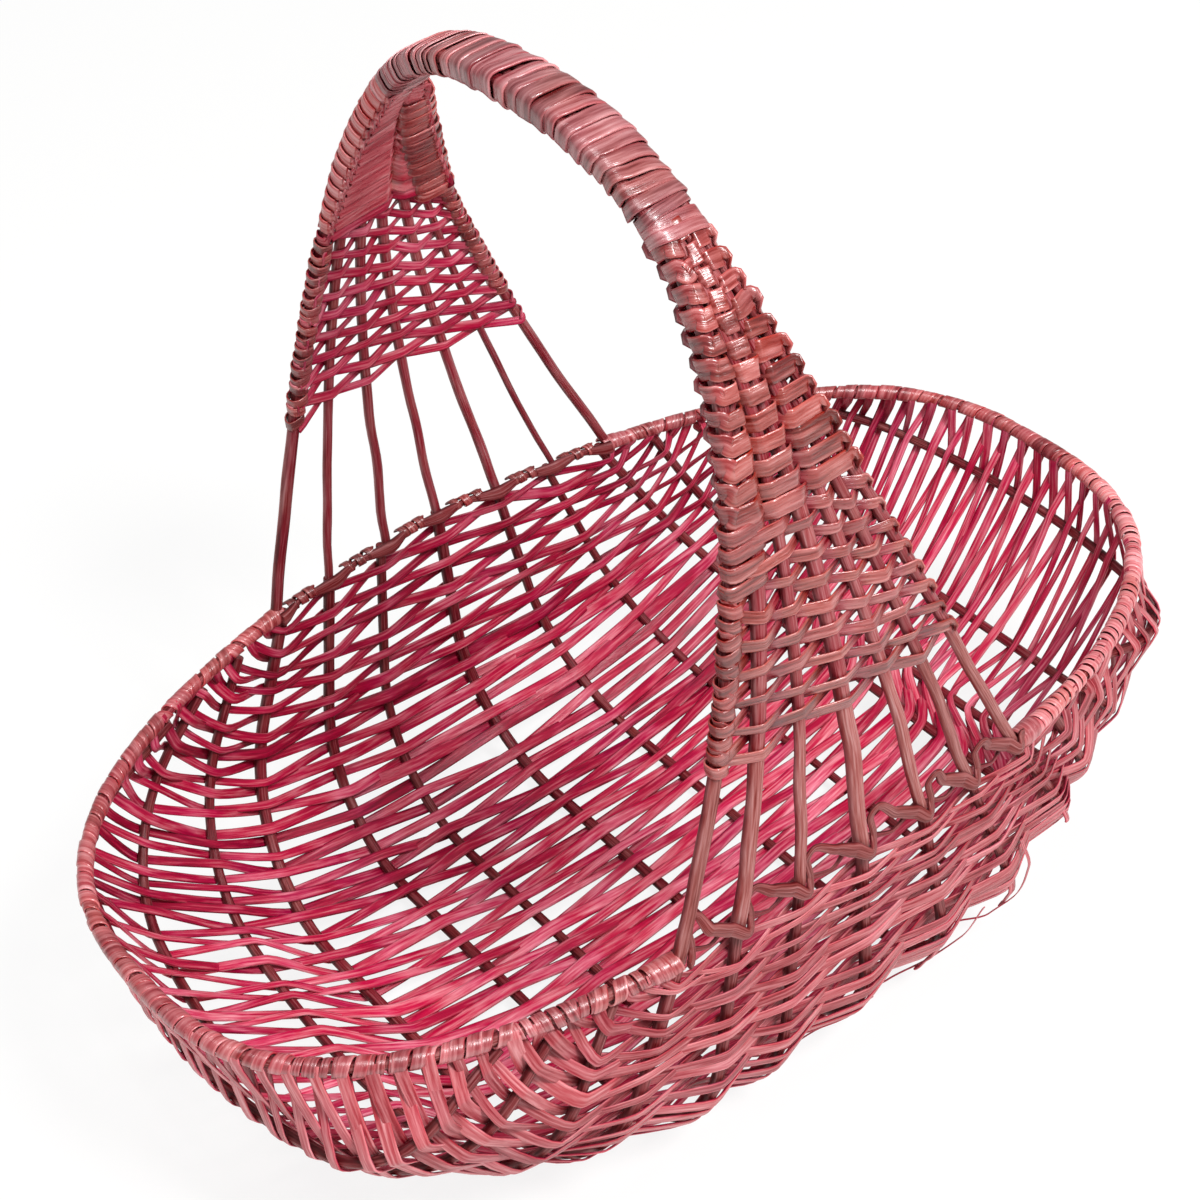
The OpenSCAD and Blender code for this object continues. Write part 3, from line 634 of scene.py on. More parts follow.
def dyed(key):
    """Dyed willow: inner and outer colour, a blush in patches, fibres along the run whose bright streaks
    carry a painted highlight, and edges with painted shade on little-faded faces and pale wear with a painted
    highlight on faded ones.
    """
    name, *dyes, grain, streak, rough, shine, level, rich, two_faced = FINISHES[key]
    if name in bpy.data.materials:
        return bpy.data.materials[name]
    colours = bpy.context.scene.basket_colours
    inner, outer, blush = ((*getattr(colours, dye), 1.0) for dye in dyes)
    material = bpy.data.materials.new(name)
    material.use_nodes = True
    t = Tree(material.node_tree)

    def attribute(key):
        return t.add("Attribute", attribute_name=key).outputs["Fac"]

    run, across, side, tone, fade = map(attribute, ("run", "across", "side", "tone", "fade"))
    seed = t.times(tone, 31.0)

    def along(lengthwise, crosswise):
        place = {"X": t.times(run, lengthwise), "Y": t.times(across, crosswise), "Z": seed}
        return t.out("CombineXYZ", place)

    def cloud(vector, scale, detail=3.0):
        return t.out("TexNoise", {"Vector": vector, "Scale": scale, "Detail": detail})

    def spread(value, low, high):
        return t.out("MapRange", {"Value": value, "From Min": low, "From Max": high})

    def mixed(factor, a, b):
        return t.add("Mix", {0: factor, 6: a, 7: b}, data_type="RGBA").outputs[2]

    patches = cloud(t.add("TexCoord").outputs["Object"], PATCHES)
    fibres = cloud(along(FIBRES, streak), 1.0, 4.0)
    fine = cloud(along(FINE, grain), 1.0, 2.0)
    outward = t.times(spread(side, *FACES), fade) if two_faced else fade
    worn = t.plus(outward, t.times(t.minus(fibres, 0.5), WEAR))
    colour = mixed(spread(worn, 0.0, 1.0), inner, outer)
    blushing = t.times(spread(patches, *BLUSH_FROM), BLUSH)
    if two_faced:
        blushing = t.times(blushing, t.minus(1.0, t.times(outward, BLUSH_LOST)))
    colour = mixed(blushing, colour, blush)
    edge = t.math("POWER", t.math("ABSOLUTE", across), EDGE_POWER)
    # Streaks of the grain, which also paint a highlight: brighter and paler where they rise.
    grain_and_highlight_streaks = spread(fibres, *STREAKS)
    shade = t.plus(t.times(tone, TONE_LIGHT), grain_and_highlight_streaks)
    # Painted shade and highlight at the skeins' edges: darker on little-faded faces, and pale as wear with a
    # painted highlight on faded ones.
    shade = t.plus(shade, t.times(edge, t.minus(outward, EDGE_SHADE_TO_HIGHLIGHT)))
    value = t.math("MAXIMUM", t.plus(t.times(shade, STREAK_LIGHT), level), DARKEST)
    # Painted highlight: the dye is paled where the streaks are bright.
    strength = t.minus(t.minus(rich, t.times(grain_and_highlight_streaks, STREAK_HIGHLIGHT_PALE)), t.times(tone, TONE_PALE))
    colour = t.out("HueSaturation", {"Value": value, "Saturation": strength, "Color": colour})
    height = t.plus(t.times(fine, FINE_RELIEF), fibres)
    bump = t.out("Bump", {"Strength": RELIEF, "Distance": RELIEF_DEPTH, "Height": height})
    roughness = t.plus(t.times(fine, FINE_ROUGH), rough)
    shader = t.out("BsdfPrincipled", {"Base Color": colour, "Roughness": roughness, "Normal": bump,
                                      "Specular IOR Level": shine})
    t.add("OutputMaterial", {"Surface": shader})
    return material


# ---- Pieces ----


def draw_for(*key):
    """A random source of its own for each strand, the same each run."""
    return random.Random("-".join(map(str, key)))


def shares(steps):
    """Even shares from 0 to 1."""
    return [j / steps for j in range(steps + 1)]


def weave_side(i, k):
    """1 where row k passes outside rib i, -1 where it passes inside."""
    return 1 if (i + k + LAST_RIB) % 2 == 0 else -1


# Smallest room between two skeins or rods.
CLEAR = 0.0002
# Share of its thickness that a hoop loses toward the back, and how far before the middle that begins.
HOOP_TAPER, TAPER_FROM = 0.22, 0.4
# How far rows that share a turn round the hoop draw together, as a share of their spacing.
PAIRING = 0.36


def hoop_place(bowl, end, s, angle, radius):
    """Point on the wrap round a hoop, its outward direction and the way round it."""
    centre, out, up = bowl.hoop_frame(end, s)
    c, q = math.cos(angle), math.sin(angle)
    radius *= 1 - HOOP_TAPER * smooth(centre.y / bowl.half_width + TAPER_FROM)
    return centre + (out * c + up * q) * radius, out * c + up * q, up * c - out * q


def rim_contact(bowl, end, k):
    """Where row k meets a hoop: its place along it, and whether it comes up on the inside."""
    last = max(i for i in range(LAST_RIB + 1) if bowl.crosses(i, k))
    partner = 1 if (k % 2 == 0) == (end > 0) else -1
    s = bowl.row_end(k) - partner * bowl.row_step * PAIRING
    edge = bowl.corner_gap + STEP
    return min(max(s, edge), bowl.end_length - edge), weave_side(end * last, k) > 0


# Painted light added to the rows of the floor, where the handle and front wall shade them, and how it falls
# off to both sides.
FLOOR_PAINTED_LIGHT, FLOOR_FALL, FLOOR_FLAT = 1.2, 6, 0.4
# How far inner crossings of the front wall stand in, at which share of the rows most, over how many
# rows, and on how many ribs to each side of the first one right of the middle.
DIP, DIP_AT, DIP_ROWS, DIP_RIBS = 0.006, 0.73, 13, 3
# How much narrower skeins are on the end ribs, on the back wall and its share of rows, on the right.
SLIM_ENDS, SLIM_BACK, BACK_SHARE, SLIM_RIGHT = 0.16, 0.12, 0.34, 0.10
# Share of the rows' spacing that a skein takes on the rim, the shares that skeins have of their
# full width, how much that wavers, and the twist of their faces.
RIM_SHARE, SKEIN_SHARES, WAVER, TWIST = 0.95, (0.78, 1.20), 0.15, 0.10
# Places round the hoop, in degrees, where a row comes up on the inside and on the outside.
LANDINGS = {True: (170, 120), False: (10, 60)}


def row_strand(bowl, k):
    """Row k of the bowl, from the left hoop to the right one."""
    draw = draw_for("row", k)
    sizes = bowl.z
    middle = 1 - smooth(abs(k / sizes.rows - 0.5) * FLOOR_FALL - FLOOR_FLAT)
    # Painted light: the middle rows, those of the floor, are made brighter.
    tone = draw.uniform(-1, 1) + FLOOR_PAINTED_LIGHT * middle
    gap = sizes.skein * 0.5 + CLEAR

    def landing(end):
        s, inside = rim_contact(bowl, end, k)
        turn = -1 if inside else 1
        found = []
        for degrees in LANDINGS[inside]:
            point, out, way = hoop_place(bowl, end, s, math.radians(degrees), sizes.hoop_radius + gap)
            found.append((point, out * turn, way * turn))
        return found

    stations = [(point, face, -way) for point, face, way in reversed(landing(-1))]
    rim_widths = [bowl.row_step * RIM_SHARE] * 2
    widths = list(rim_widths)
    for i in range(-LAST_RIB, LAST_RIB + 1):
        if bowl.crosses(i, k):
            point, out, along = bowl.station(i, k, draw.gauss(0, sizes.shift))
            side = weave_side(i, k)
            offset = bowl.ribs[i].radius + gap
            if side < 0 and abs(i - 1) <= DIP_RIBS:
                offset += DIP * max(0.0, 1 - abs(k - DIP_AT * sizes.rows) / DIP_ROWS)
            face = (out + along * draw.gauss(0, TWIST)).normalized()
            stations.append((point + out * offset * side, face, None))
            slim = SLIM_ENDS * smooth((abs(i) - 2) / 2)
            slim += SLIM_BACK * (k < sizes.rows * BACK_SHARE) + SLIM_RIGHT * (i > 3)
            widths.append(min(sizes.weaver, bowl.row_space(i, k)) * (1 - slim))
    stations += landing(1)
    widths += rim_widths
    share = draw.uniform(*SKEIN_SHARES)

    def size(t):
        return lookup(t, range(len(widths)), widths) * share * (1 + WAVER * wave(k + 0.5, t, 0.9))

    return flowing(tone, 1.0, stations, size, steps=7, pull=0.6, tight=0.020)


# Turns of a pair of rows round the hoop, and on the crowded front: where that begins, its share on
# the left, its turns, their width, and the painted light that makes them brighter on the right.
TURNS, CROWD_Y, CROWD_LEFT, CROWD_TURNS, CROWD_WIDTH, CROWD_PAINTED_LIGHT = 1.5, -0.02, 0.5, 2.5, 0.60, 2.4


def wrap_strands(bowl, end):
    """The turns of the weavers round one hoop, where each pair of rows is joined."""
    sizes = bowl.z
    strands = []
    for k in range(0 if end > 0 else 1, sizes.rows - 1, 2):
        draw = draw_for("wrap", end, k)
        (s0, inside), (s1, _) = rim_contact(bowl, end, k), rim_contact(bowl, end, k + 1)
        crowded = bowl.hoop_frame(end, s0)[0].y < CROWD_Y and (end > 0 or draw.random() < CROWD_LEFT)
        start = math.pi + 0.5 if inside else -0.5
        turn = 2 * math.pi * (CROWD_TURNS if crowded else TURNS) + 1.0
        # Painted light: the crowded turns on the right are made brighter.
        strand = Strand(draw.uniform(-1, 1) + (CROWD_PAINTED_LIGHT if crowded and end > 0 else 0), 1.0)
        width = bowl.row_step * draw.uniform(0.86, 1.20) * (CROWD_WIDTH if crowded else 1)
        lift = draw.uniform(0.0, 0.0007)
        for t in shares(54 if crowded else 36):
            angle = start + turn * t * (-1 if inside else 1)
            radius = sizes.hoop_radius + sizes.skein * 0.7 + lift + 0.0004 * wave(k, t, 4.0)
            place = s0 + (s1 - s0) * (1.24 * t - 0.12) + 0.0006 * wave(k + 3, t, 3.0)
            point, out, _ = hoop_place(bowl, end, place, angle, radius)
            strand.add(point, out, width * (1 + 0.16 * wave(k + 9, t, 5.0)))
        strands.append(strand)
    return strands


def rib_strand(bowl, i):
    """A rib of the bowl, with the small swellings of a grown rod."""
    rib = bowl.ribs[i]
    strand = Strand(draw_for("rib", i).uniform(-1.1, -0.5), 0.35)
    for t in shares(70):
        s = 2 * rib.reach * t
        point, out, _ = rib.frame(s)
        strand.add(point, out, 2 * rib.radius * (1 + 0.06 * wave(i + 20, s, 45.0)))
    return strand


# How far the open parts of the handle rods sway, how much deeper and darker their dye is made inside
# the panels, and the lengths over which both change.
ROD_SWAY, ROD_SHADE, SHADE_FROM, ROD_EASE = 0.0014, 0.85, 0.008, 0.02


def rod_strand(handle, n):
    """Rod n of the handle, from its front foot over the crown to its back foot."""
    z = handle.z
    strand = Strand(draw_for("rod", n).uniform(-1, 1), 1.0)
    for t in shares(120):
        s = handle.length * t
        rise = handle.at(s)[1]
        free = smooth(rise / ROD_EASE) * smooth((z.front_bottom - rise) / 0.03)
        point = handle.rod(n, s) + X * ROD_SWAY * free * wave(n + 3, s, 28.0)
        bottom = z.back_bottom if s > handle.length / 2 else z.front_bottom
        rod_fade = 1 - ROD_SHADE * smooth((rise - bottom + SHADE_FROM) / ROD_EASE)
        knot = 1 + 0.07 * wave(n + 40, s, 60.0)
        strand.add(point, handle.out(s), 2 * handle.radius(n, s) * knot, rod_fade)
    return strand


def over(handle, n, j, rise, back):
    """Side of rod n on which row j passes: rod by rod, and higher up group by group."""
    z = handle.z
    if back and rise > z.panel_top:
        n = 1 if n <= 4 else 2
    elif not back and (rise > z.front_top or (rise > z.pair_from and n <= 2)):
        n = 1 if n <= 2 else 2 if n <= 4 else 3
    return 1 if (n + j) % 2 == 0 else -1


# Of the panels, each for the front and the back: how far past the neck they end, the rods that a
# grouped row passes by, the side on which skeins join, and their brightness in panel and neck.
PAST_NECK = (0.009, 0.002)
PASSED_BY = ((6,), (2, 3, 6))
JOIN_SIDE = (-1, 1)
PANEL_TONES = ((0.0, 0.0), (0.35, 1.7))
# How much looser than the neck the open panel is, how far its crossings stray and twist.
NECK_LOOSE, STRAY, PANEL_TWIST = 0.4, 0.0008, 0.12


def panel_strands(handle, back):
    """The skeins of a panel and those of its neck, which turn round the outer rods at each row."""
    z = handle.z
    draw = draw_for("panel", back)
    gap = handle.bowl.z.skein * 0.3 + CLEAR
    s = handle.s_of(z.back_bottom if back else z.front_bottom)
    top = handle.s_of(z.neck) + PAST_NECK[back]
    pitches = ((z.row_pitch, z.back_pitch), (z.neck_pitch, z.back_neck_pitch))
    stations, marks, joins, j = [], [], [0], 0
    while s < top:
        rise = handle.at(s)[1]
        grouped = rise > (z.panel_top if back else z.front_top)
        pitch = pitches[grouped][back]
        loose = NECK_LOOSE if grouped else 1.0
        place = handle.length - s if back else s
        order = range(7, 0, -1) if j % 2 else range(1, 8)
        out, way = handle.out(place), handle.way(place)
        layered = z.layer * handle.layering(rise)
        width = (z.neck_skein if grouped else z.panel_skein) * draw.uniform(0.84, 1.14)
        edge = order[-1]
        sideways = X * (1 if edge == 7 else -1)
        for n in order:
            if grouped and n in PASSED_BY[back]:
                continue
            side = over(handle, n, j, rise, back)
            if n in (3, 4) and side == JOIN_SIDE[back]:
                joins.append(len(stations))
            offset = handle.radius(n, place) + layered + gap
            point = handle.rod(n, place, layered=False) + out * side * offset
            stray = way * draw.gauss(0, STRAY) * loose
            face = (out + way * draw.gauss(0, PANEL_TWIST) * loose).normalized()
            stations.append((point + stray, face, sideways))
            marks.append((width, 0.68 + 0.32 * side, grouped))
        turn = place + (pitch / 2) * (-1 if back else 1)
        front = out * over(handle, edge, j, rise, back)
        reach = handle.radius(edge, place) + gap
        for angle in (45, 90, 135):
            c, q = math.cos(math.radians(angle)), math.sin(math.radians(angle))
            around = front * c * (reach + layered) + sideways * q * reach
            radial = (front * c + sideways * q) * over(handle, edge, j, rise, back)
            centre = handle.rod(edge, turn, layered=False)
            stations.append((centre + around, radial, sideways * c - front * q))
            marks.append((width, 0.75, grouped))
        s += pitch
        j += 1
    strands, strand = ([], []), None
    for point, face, t in flow(stations, steps=6, pull=0.75, tight=0.007):
        width, fade, grouped = marks[min(int(t + 0.5), len(marks) - 1)]
        if joins and t >= joins[0]:
            joins.pop(0)
            begun = strand.points[-1:] if strand else []
            strand = Strand(draw.uniform(-0.5, 0.6) + PANEL_TONES[back][grouped], 1.0)
            strand.points += begun
            strands[grouped].append(strand)
        strand.add(point, face, width * (1 + 0.12 * wave(11, t, 0.37)), fade)
    return strands


def superellipse(angle, wide, deep, exponent):
    """Point and normal of a rounded box, as x, y and the normal's x, y."""
    c, q = math.cos(angle), math.sin(angle)
    nx, ny = power(c, 2 - exponent) / wide, power(q, 2 - exponent) / deep
    size = math.hypot(nx, ny)
    return wide * power(c, exponent), deep * power(q, exponent), nx / size, ny / size


def edge_wraps(handle, back, first, last, low, high, pitch, stand):
    """Extra turns of a skein round the outer rod of a panel, or round the outer two."""
    strands = []
    s, stop = handle.s_of(low), handle.s_of(high)
    while s < stop:
        draw = draw_for("edge", back, first, last, len(strands))
        strand = Strand(draw.uniform(-1, 0.6), 0.9)
        place = handle.length - s if back else s
        slant = draw.gauss(0, 0.0006)
        layered = handle.z.layer * handle.layering(handle.at(s)[1])
        deep = handle.radius(first, place) + layered + stand + draw.uniform(0, 0.0005)
        wide = (handle.rod(last, place).x - handle.rod(first, place).x) / 2 + deep
        for t in shares(18):
            x, y, nx, ny = superellipse(2 * math.pi * t * 1.05, wide, deep, 0.5 if first < last else 0.8)
            out = handle.out(place)
            along = place + slant * nx
            centre = handle.rod(first, along).lerp(handle.rod(last, along), 0.5)
            strand.add(centre + X * x + out * y, X * nx + out * ny, pitch * draw.uniform(0.86, 0.98))
        strands.append(strand)
        s += pitch * draw.uniform(0.94, 1.1)
    return strands


# Places of the grip's binding past the necks; where the fine turns begin and end, as shares of it;
# how much closer the first turns lie, and for how long; and how far some turns are raised.
GRIP_START, GRIP_STOP = 0.006, 0.004
FINE_FROM, FINE_TO, FINE_EASE, COARSE_EASE = 0.60, 0.93, 0.10, 0.05
CLOSE, CLOSE_LENGTH = 0.34, 0.05
RAISED, RAISED_SHARE = 0.0012, 0.22


def grip_strands(handle):
    """The skein bound round the grip, wide at the front and fine toward the back."""
    z = handle.z
    half_skein = handle.bowl.z.skein / 2
    start = handle.s_of(z.neck) + GRIP_START
    stop = handle.length - handle.s_of(z.neck) + GRIP_STOP
    strands = []
    s = start
    while s < stop:
        t = (s - start) / (stop - start)
        fine = smooth((t - FINE_FROM) / FINE_EASE) * (1 - smooth((t - FINE_TO) / COARSE_EASE))
        pitch = z.grip_skein * (1 - fine) + z.grip_fine * fine
        pitch *= 1 - CLOSE * (1 - smooth((s - start) / CLOSE_LENGTH))
        draw = draw_for("grip", len(strands))
        strand = Strand(draw.uniform(-1, 1), 0.95)
        width = pitch * draw.uniform(0.98, 1.16)
        lift = draw.uniform(0.0, 0.0006) + half_skein
        slant = draw.gauss(0, 0.0009)
        tilt = draw.gauss(0.12, 0.06)
        raised = RAISED * (draw.random() < RAISED_SHARE) * (1 - fine)
        for turn in shares(26):
            angle = math.pi * (2.06 * turn - 0.55)
            place = s + pitch * turn + slant * math.cos(angle)
            wide = 3 * handle.bowl.z.rib_pitch * handle.spread(place) + z.grip_half
            deep = z.grip_half + z.layer * handle.layering(handle.at(place)[1])
            x, y, nx, ny = superellipse(angle, wide + lift, deep + lift, 0.5)
            out = handle.out(place)
            face = (X * nx + out * ny + handle.way(place) * tilt).normalized()
            bulge = raised * max(0.0, math.sin(angle - 0.6)) ** 2
            strand.add(handle.centre(place) + X * x + out * (y + bulge), face, width)
        strands.append(strand)
        s += pitch
    return strands


def front_border_strand(handle):
    """A rod that hooks under the front of each handle rod, climbs beside it and falls to the next."""
    thick = handle.z.border
    s = handle.s_of(0.003)
    out = -Y
    stations, sizes = [], []

    def go(point, way, size):
        stations.append((point, out, way))
        sizes.append(size * thick)

    for n in range(1, 8):
        foot = handle.rod(n, s)
        r = handle.radius(n, s)
        draw = draw_for("border", n)
        rise = draw.uniform(0.011, 0.016)
        falling = X - Z * 0.45
        if n > 1:
            before = foot - X * handle.bowl.z.rib_pitch * 0.48
            go(before + out * r * 0.6 + Z * 0.0085, falling, draw.uniform(0.9, 1.1))
            go(foot - X * (r + 0.003) + out * r * 0.9 + Z * 0.003, falling, draw.uniform(1.2, 1.4))
        go(foot + out * (r + thick * 0.45) - Z * 0.0016, X - Z * 0.05, 1.0)
        go(foot + X * (r + thick * 0.36) + out * 0.0014 + Z * 0.002, Z + X * 0.15, 0.62)
        if n < 7:
            go(foot + X * (r + thick * 0.34) + Z * rise * 0.7, Z + X * 0.05, 0.62)
            go(foot + X * (r + thick * 1.1) + out * 0.0004 + Z * rise, X - Z * 0.1, 0.62)
    go(handle.rod(7, s) + X * 0.006 - Z * 0.006, -Z, 0.6)
    return flowing(-0.7, 0.7, stations, lambda t: lookup(t, range(len(sizes)), sizes),
                   steps=6, pull=0.85, tight=0.010)


def feet(handle, back):
    """Place along the handle where the border lies."""
    s = handle.s_of(STEP)
    return handle.length - s if back else s


def border_line(handle, back, thick):
    """A rod that lies along the inside of the handle rods' feet."""
    s = feet(handle, back)
    inward = -Y if back else Y
    stations = []
    for n in range(1, 8):
        foot = handle.rod(n, s)
        reach = handle.radius(n, s) + thick * 0.4
        stations.append((foot + inward * reach - Z * 0.001, inward, X))
        if n < 7:
            middle = foot.lerp(handle.rod(n + 1, s), 0.5)
            stations.append((middle - Z * 0.002, inward, X - Z * 0.1))
    return flowing(-0.4, 0.4, stations, lambda t: thick * (0.85 + 0.30 * math.cos(math.pi * t)),
                   steps=6, pull=0.8, tight=0.012)


def border_wraps(handle):
    """Short skeins bound across the back border, three between each two handle rods."""
    thick = handle.z.border
    s = feet(handle, True)
    slant = X * handle.bowl.z.rib_pitch * 0.12
    strands = []
    for n in range(1, 7):
        for part in (0.30, 0.48, 0.66):
            draw = draw_for("borderwrap", True, n, part)
            share = part + draw.uniform(-0.05, 0.05)
            centre = handle.rod(n, s).lerp(handle.rod(n + 1, s), share) - Z * 0.0015
            strand = Strand(draw.uniform(-1, 0.6), 0.8)
            for t in shares(16):
                angle = 2 * math.pi * t * 1.04
                radial = Y * math.cos(angle) + Z * math.sin(angle)
                point = centre + slant * (t - 0.5) + radial * thick * 0.50
                strand.add(point, radial, thick * draw.uniform(0.7, 0.85))
            strands.append(strand)
    return strands


def loose_strands(bowl):
    """Skeins that have sprung out of the front wall, and the cut ends that stick out there."""
    strands = []
    for width, stops in LOOSE:
        stations = []
        for place, row, off in stops:
            i = math.floor(place)
            (a, out, _), (b, other, _) = bowl.station(i, row), bowl.station(i + 1, row)
            out = out.lerp(other, place - i).normalized()
            stations.append((a.lerp(b, place - i) + out * off, out, None))
        strands.append(flowing(0.5, 0.9, stations, lambda t: width * (1 - 0.3 * t / len(stations)),
                               steps=8, pull=1.0))
    return strands


# Turns and length of a lashing, its radius at the hoop's end, how much that falls, and its width.
LASHING_TURNS, LASHING_REACH = 3, 0.012
LASHING_RADIUS, LASHING_FALL, LASHING_WIDTH = 0.0046, 0.0012, 0.72


def lashing_strand(bowl, end, back):
    """A skein wound thickly round the start of a hoop."""
    strand = Strand(draw_for("lashing", end, back).uniform(-0.5, 0.8), 1.0)
    for t in shares(60):
        s = 2 * STEP + LASHING_REACH * t
        place = s if back else bowl.end_length - s
        radius = LASHING_RADIUS - LASHING_FALL * t + 0.0005 * wave(end + 3, t, 9)
        point, out, _ = hoop_place(bowl, end, place, 2 * math.pi * LASHING_TURNS * t, radius)
        strand.add(point, out, bowl.z.weaver * LASHING_WIDTH)
    return strand


def hoop_strand(bowl, end):
    """The rod inside the rim's wrap at one end."""
    strand = Strand(0.0, 0.6)
    for t in shares(90):
        place = bowl.corner_gap + (bowl.end_length - 2 * bowl.corner_gap) * t
        centre, out, _ = bowl.hoop_frame(end, place)
        strand.add(centre, out, 2 * bowl.z.hoop_radius)
    return strand


# ---- Operators ----


ENDS = ((-1, "left"), (1, "right"))
SIDES = ((False, "front"), (True, "back"))
ROUND = {"sides": 12, "flat": 1.0, "wide_power": 1.0, "deep_power": 1.0}


def piece(name, strands, dye, slot, node=None, **section):
    """A swept piece that rides on the body and stands for the CAD node in its name."""
    obj = sweep(name, strands, dyed(dye), **section)
    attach(obj, BODY)
    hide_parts(node or name.rpartition("_")[0])


class Step:
    """A step of the build, run by its operator."""

    def execute(self, context):
        bowl = Bowl(context.scene.basket_bowl)
        self.make(bowl, Handle(context.scene.basket_handle, bowl))
        return {"FINISHED"}


class BASKET_OT_ribs(Step, bpy.types.Operator):
    """Bend the thirteen ribs and the two end hoops"""
    bl_idname = "basket.ribs"
    bl_label = "Ribs and hoops"

    def make(self, bowl, handle):
        for n in range(1, 8):
            piece(f"body_rib_{n}_bark", [rib_strand(bowl, n - MIDDLE)], "bark", "rib_rods", **ROUND)
        for end, word in ENDS:
            for n in range(1, 4):
                rib = rib_strand(bowl, end * (MIDDLE - 1 + n))
                piece(f"{word}_end_rib_{n}_bark", [rib], "bark", "rib_rods", **ROUND)
            piece(f"{word}_end_hoop_bark", [hoop_strand(bowl, end)], "bark", "rim_hoops", **ROUND)


class BASKET_OT_weavers(Step, bpy.types.Operator):
    """Weave the rows of the bowl over and under the ribs"""
    bl_idname = "basket.weavers"
    bl_label = "Bowl weavers"

    def make(self, bowl, handle):
        rows, flat = bowl.z.rows, bowl.z.skein / bowl.z.weaver
        wall = rows // 3
        for node, span in (("back_wall", range(wall)), ("floor", range(wall, rows - wall)),
                           ("front_wall", range(rows - wall, rows))):
            strands = [row_strand(bowl, k) for k in span]
            piece(node + "_weavers_woven", strands, "weaver", "bowl_weavers", flat=flat)
        piece("front_wall_loose", loose_strands(bowl), "weaver", "bowl_weavers", "front_wall_weavers",
              sides=8, flat=0.3)


class BASKET_OT_rim(Step, bpy.types.Operator):
    """Turn the weavers round the end hoops and lash the hoops' ends"""
    bl_idname = "basket.rim"
    bl_label = "Rim wrap"

    def make(self, bowl, handle):
        for end, word in ENDS:
            piece(f"{word}_rim_wrap_turns", wrap_strands(bowl, end), "rim", "rim_skeins", flat=0.18)
            for back, side in SIDES:
                lashing = [lashing_strand(bowl, end, back)]
                piece(f"lashing_{side}_{word}_wound", lashing, "rim", "rim_skeins")


class BASKET_OT_handle(Step, bpy.types.Operator):
    """Raise the seven rods of the handle and twine the border rods at their feet"""
    bl_idname = "basket.handle"
    bl_label = "Handle rods"

    def make(self, bowl, handle):
        for n in range(1, 8):
            piece(f"handle_rod_{n}_bark", [rod_strand(handle, n)], "bark", "handle_rods", **ROUND)
        thick = handle.z.border
        twined = {"sides": 12, "flat": 0.5, "wide_power": 0.75, "deep_power": 0.7}
        lines = [border_line(handle, False, thick * 0.7), front_border_strand(handle)]
        piece("front_border_rods_twined", lines, "bark", "handle_rods", **twined)
        lines = [border_line(handle, True, thick * 1.15)]
        piece("back_border_rods_twined", lines, "bark", "handle_rods", **twined)
        piece("back_border_rods_bound", border_wraps(handle), "handle", "handle_skeins", flat=0.2)


class BASKET_OT_panels(Step, bpy.types.Operator):
    """Weave the panels and necks of the handle and bind its grip"""
    bl_idname = "basket.panels"
    bl_label = "Handle weaving"

    def make(self, bowl, handle):
        for back, side in SIDES:
            panel, neck = panel_strands(handle, back)
            for wrap in EDGE_WRAPS[side]:
                neck += edge_wraps(handle, back, *wrap)
            dye = "weaver" if back else "handle"
            piece(side + "_panel_woven", panel, dye, "handle_skeins", side + "_panel_weavers", flat=0.15)
            piece(side + "_neck_woven", neck, "handle", "handle_skeins", side + "_neck_binding", flat=0.15)
        piece("grip_binding_wound", grip_strands(handle), "grip", "handle_skeins", flat=0.16)


WHITE = (1, 1, 1, 1)
# The floor's half side, its distance below the basket, and the share of it that is plain white.
FLOOR_REACH, FLOOR_BELOW, FLOOR_WHITE = 8.0, 0.0005, 0.85
# Light of the surroundings, and of each lamp the place, size and watts; what the lamps aim at.
AMBIENT = 0.40
LAMPS = {"key": ((0.20, -1.30, 1.90), 0.50, 50.0), "fill": ((-0.5, -0.1, 2.1), 0.9, 16.0)}
AIM = Vector((0, 0, 0.15))
# The camera's place and directions, and its lens and sensor in millimetres.
EYE, RIGHT, AHEAD = (-0.4205, -0.6136, 0.8534), (0.776, -0.623, -0.098), (0.410, 0.616, -0.673)
LENS, SENSOR = 75.0, 36.0


def camera_only(t, factor, dim, bright, output):
    """Join two shaders, the bright one as seen by the camera, and give them out."""
    t.add(output, {"Surface": t.out("MixShader", {0: factor, 1: dim, 2: bright})})


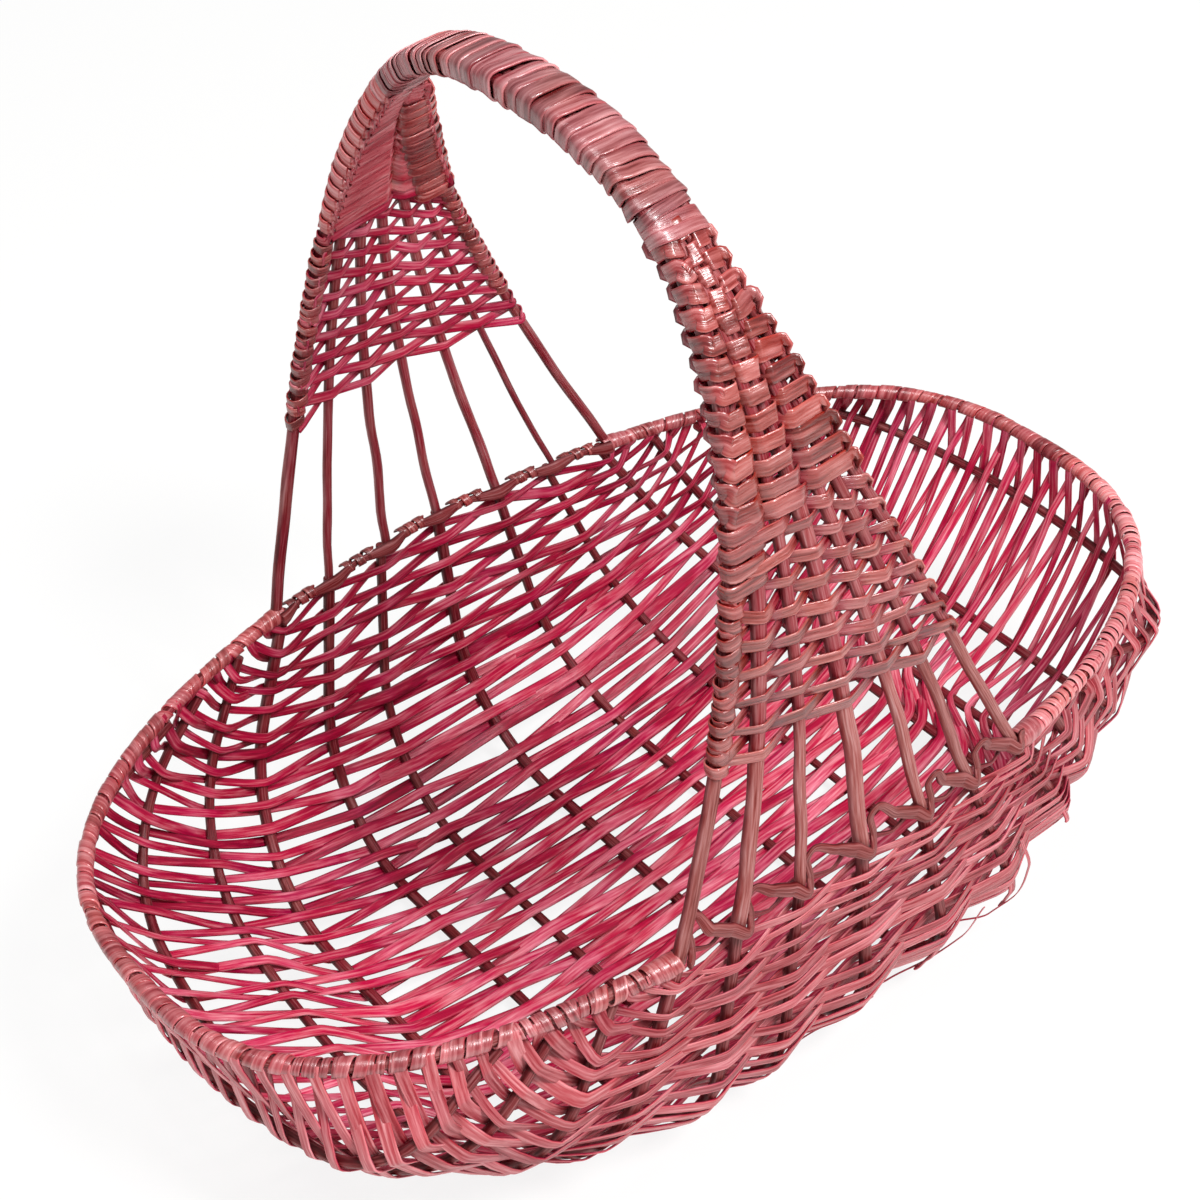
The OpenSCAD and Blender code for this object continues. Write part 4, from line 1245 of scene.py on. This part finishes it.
class BASKET_OT_stage(bpy.types.Operator):
    """Lay a pale floor, hang soft lamps and set the camera"""
    bl_idname = "basket.stage"
    bl_label = "Stage"

    def execute(self, context):
        scene = context.scene
        mesh = bpy.data.meshes.new("floor")
        corners = [(FLOOR_REACH * x, FLOOR_REACH * y, 0) for x, y in ((-1, -1), (1, -1), (1, 1), (-1, 1))]
        mesh.from_pydata(corners, [], [(0, 1, 2, 3)])
        floor = linked("floor", mesh)
        floor.location.z = CAD_BOX[0][2] - FLOOR_BELOW
        material = bpy.data.materials.new("pale_floor")
        mesh.materials.append(material)
        material.use_nodes = True
        t = Tree(material.node_tree)
        matt = t.out("BsdfDiffuse", {"Color": (*scene.basket_colours.floor, 1.0)})
        bright = t.out("Emission", {"Color": WHITE, "Strength": 1.0})
        seen = t.times(t.out("LightPath"), FLOOR_WHITE)
        camera_only(t, seen, matt, bright, "OutputMaterial")
        scene.world = bpy.data.worlds.new("studio")
        scene.world.use_nodes = True
        t = Tree(scene.world.node_tree)
        soft, white = (t.out("Background", {"Color": WHITE, "Strength": light})
                       for light in (AMBIENT, 1.0))
        camera_only(t, t.out("LightPath"), soft, white, "OutputWorld")
        for name, (place, size, watts) in LAMPS.items():
            light = bpy.data.lights.new(name, "AREA")
            light.size, light.energy = size, watts
            lamp = linked(name, light)
            lamp.location = place
            lamp.rotation_euler = (AIM - Vector(place)).to_track_quat("-Z", "Y").to_euler()
        camera = bpy.data.cameras.new("camera")
        camera.lens, camera.sensor_width = LENS, SENSOR
        camera.clip_start, camera.clip_end = 0.05, 50.0
        right, ahead = Vector(RIGHT).normalized(), Vector(AHEAD).normalized()
        right = (right - ahead * right.dot(ahead)).normalized()
        turn = Matrix((right, right.cross(ahead), -ahead)).transposed()
        scene.camera = linked("camera", camera)
        scene.camera.matrix_world = Matrix.Translation(EYE) @ turn.to_4x4()
        scene.view_settings.view_transform = "Standard"
        return {"FINISHED"}


class BASKET_PT_panel(bpy.types.Panel):
    bl_label = "Egg basket"
    bl_idname = "BASKET_PT_panel"
    bl_space_type = "VIEW_3D"
    bl_region_type = "UI"
    bl_category = "Basket"

    def draw(self, context):
        for name in GROUPS:
            box, group = self.layout.box(), getattr(context.scene, name)
            for key in group.__annotations__:
                box.prop(group, key, text=key.replace("_", " ").capitalize())
        for step in STEPS:
            self.layout.operator(step.bl_idname)


STEPS = (BASKET_OT_ribs, BASKET_OT_weavers, BASKET_OT_rim, BASKET_OT_handle, BASKET_OT_panels,
         BASKET_OT_stage)


GROUPS = {"basket_bowl": BasketBowlSizes, "basket_handle": BasketHandleSizes, "basket_colours": BasketColours}


def register():
    for cls in (*GROUPS.values(), *STEPS, BASKET_PT_panel):
        bpy.utils.register_class(cls)
    for name, cls in GROUPS.items():
        setattr(bpy.types.Scene, name, PointerProperty(type=cls))


def unregister():
    for name in GROUPS:
        delattr(bpy.types.Scene, name)
    for cls in (BASKET_PT_panel, *reversed(STEPS), *GROUPS.values()):
        bpy.utils.unregister_class(cls)


def main():
    register()
    bpy.ops.basket.ribs()
    bpy.ops.basket.weavers()
    bpy.ops.basket.rim()
    bpy.ops.basket.handle()
    bpy.ops.basket.panels()
    bpy.ops.basket.stage()


if __name__ == "__main__":
    main()
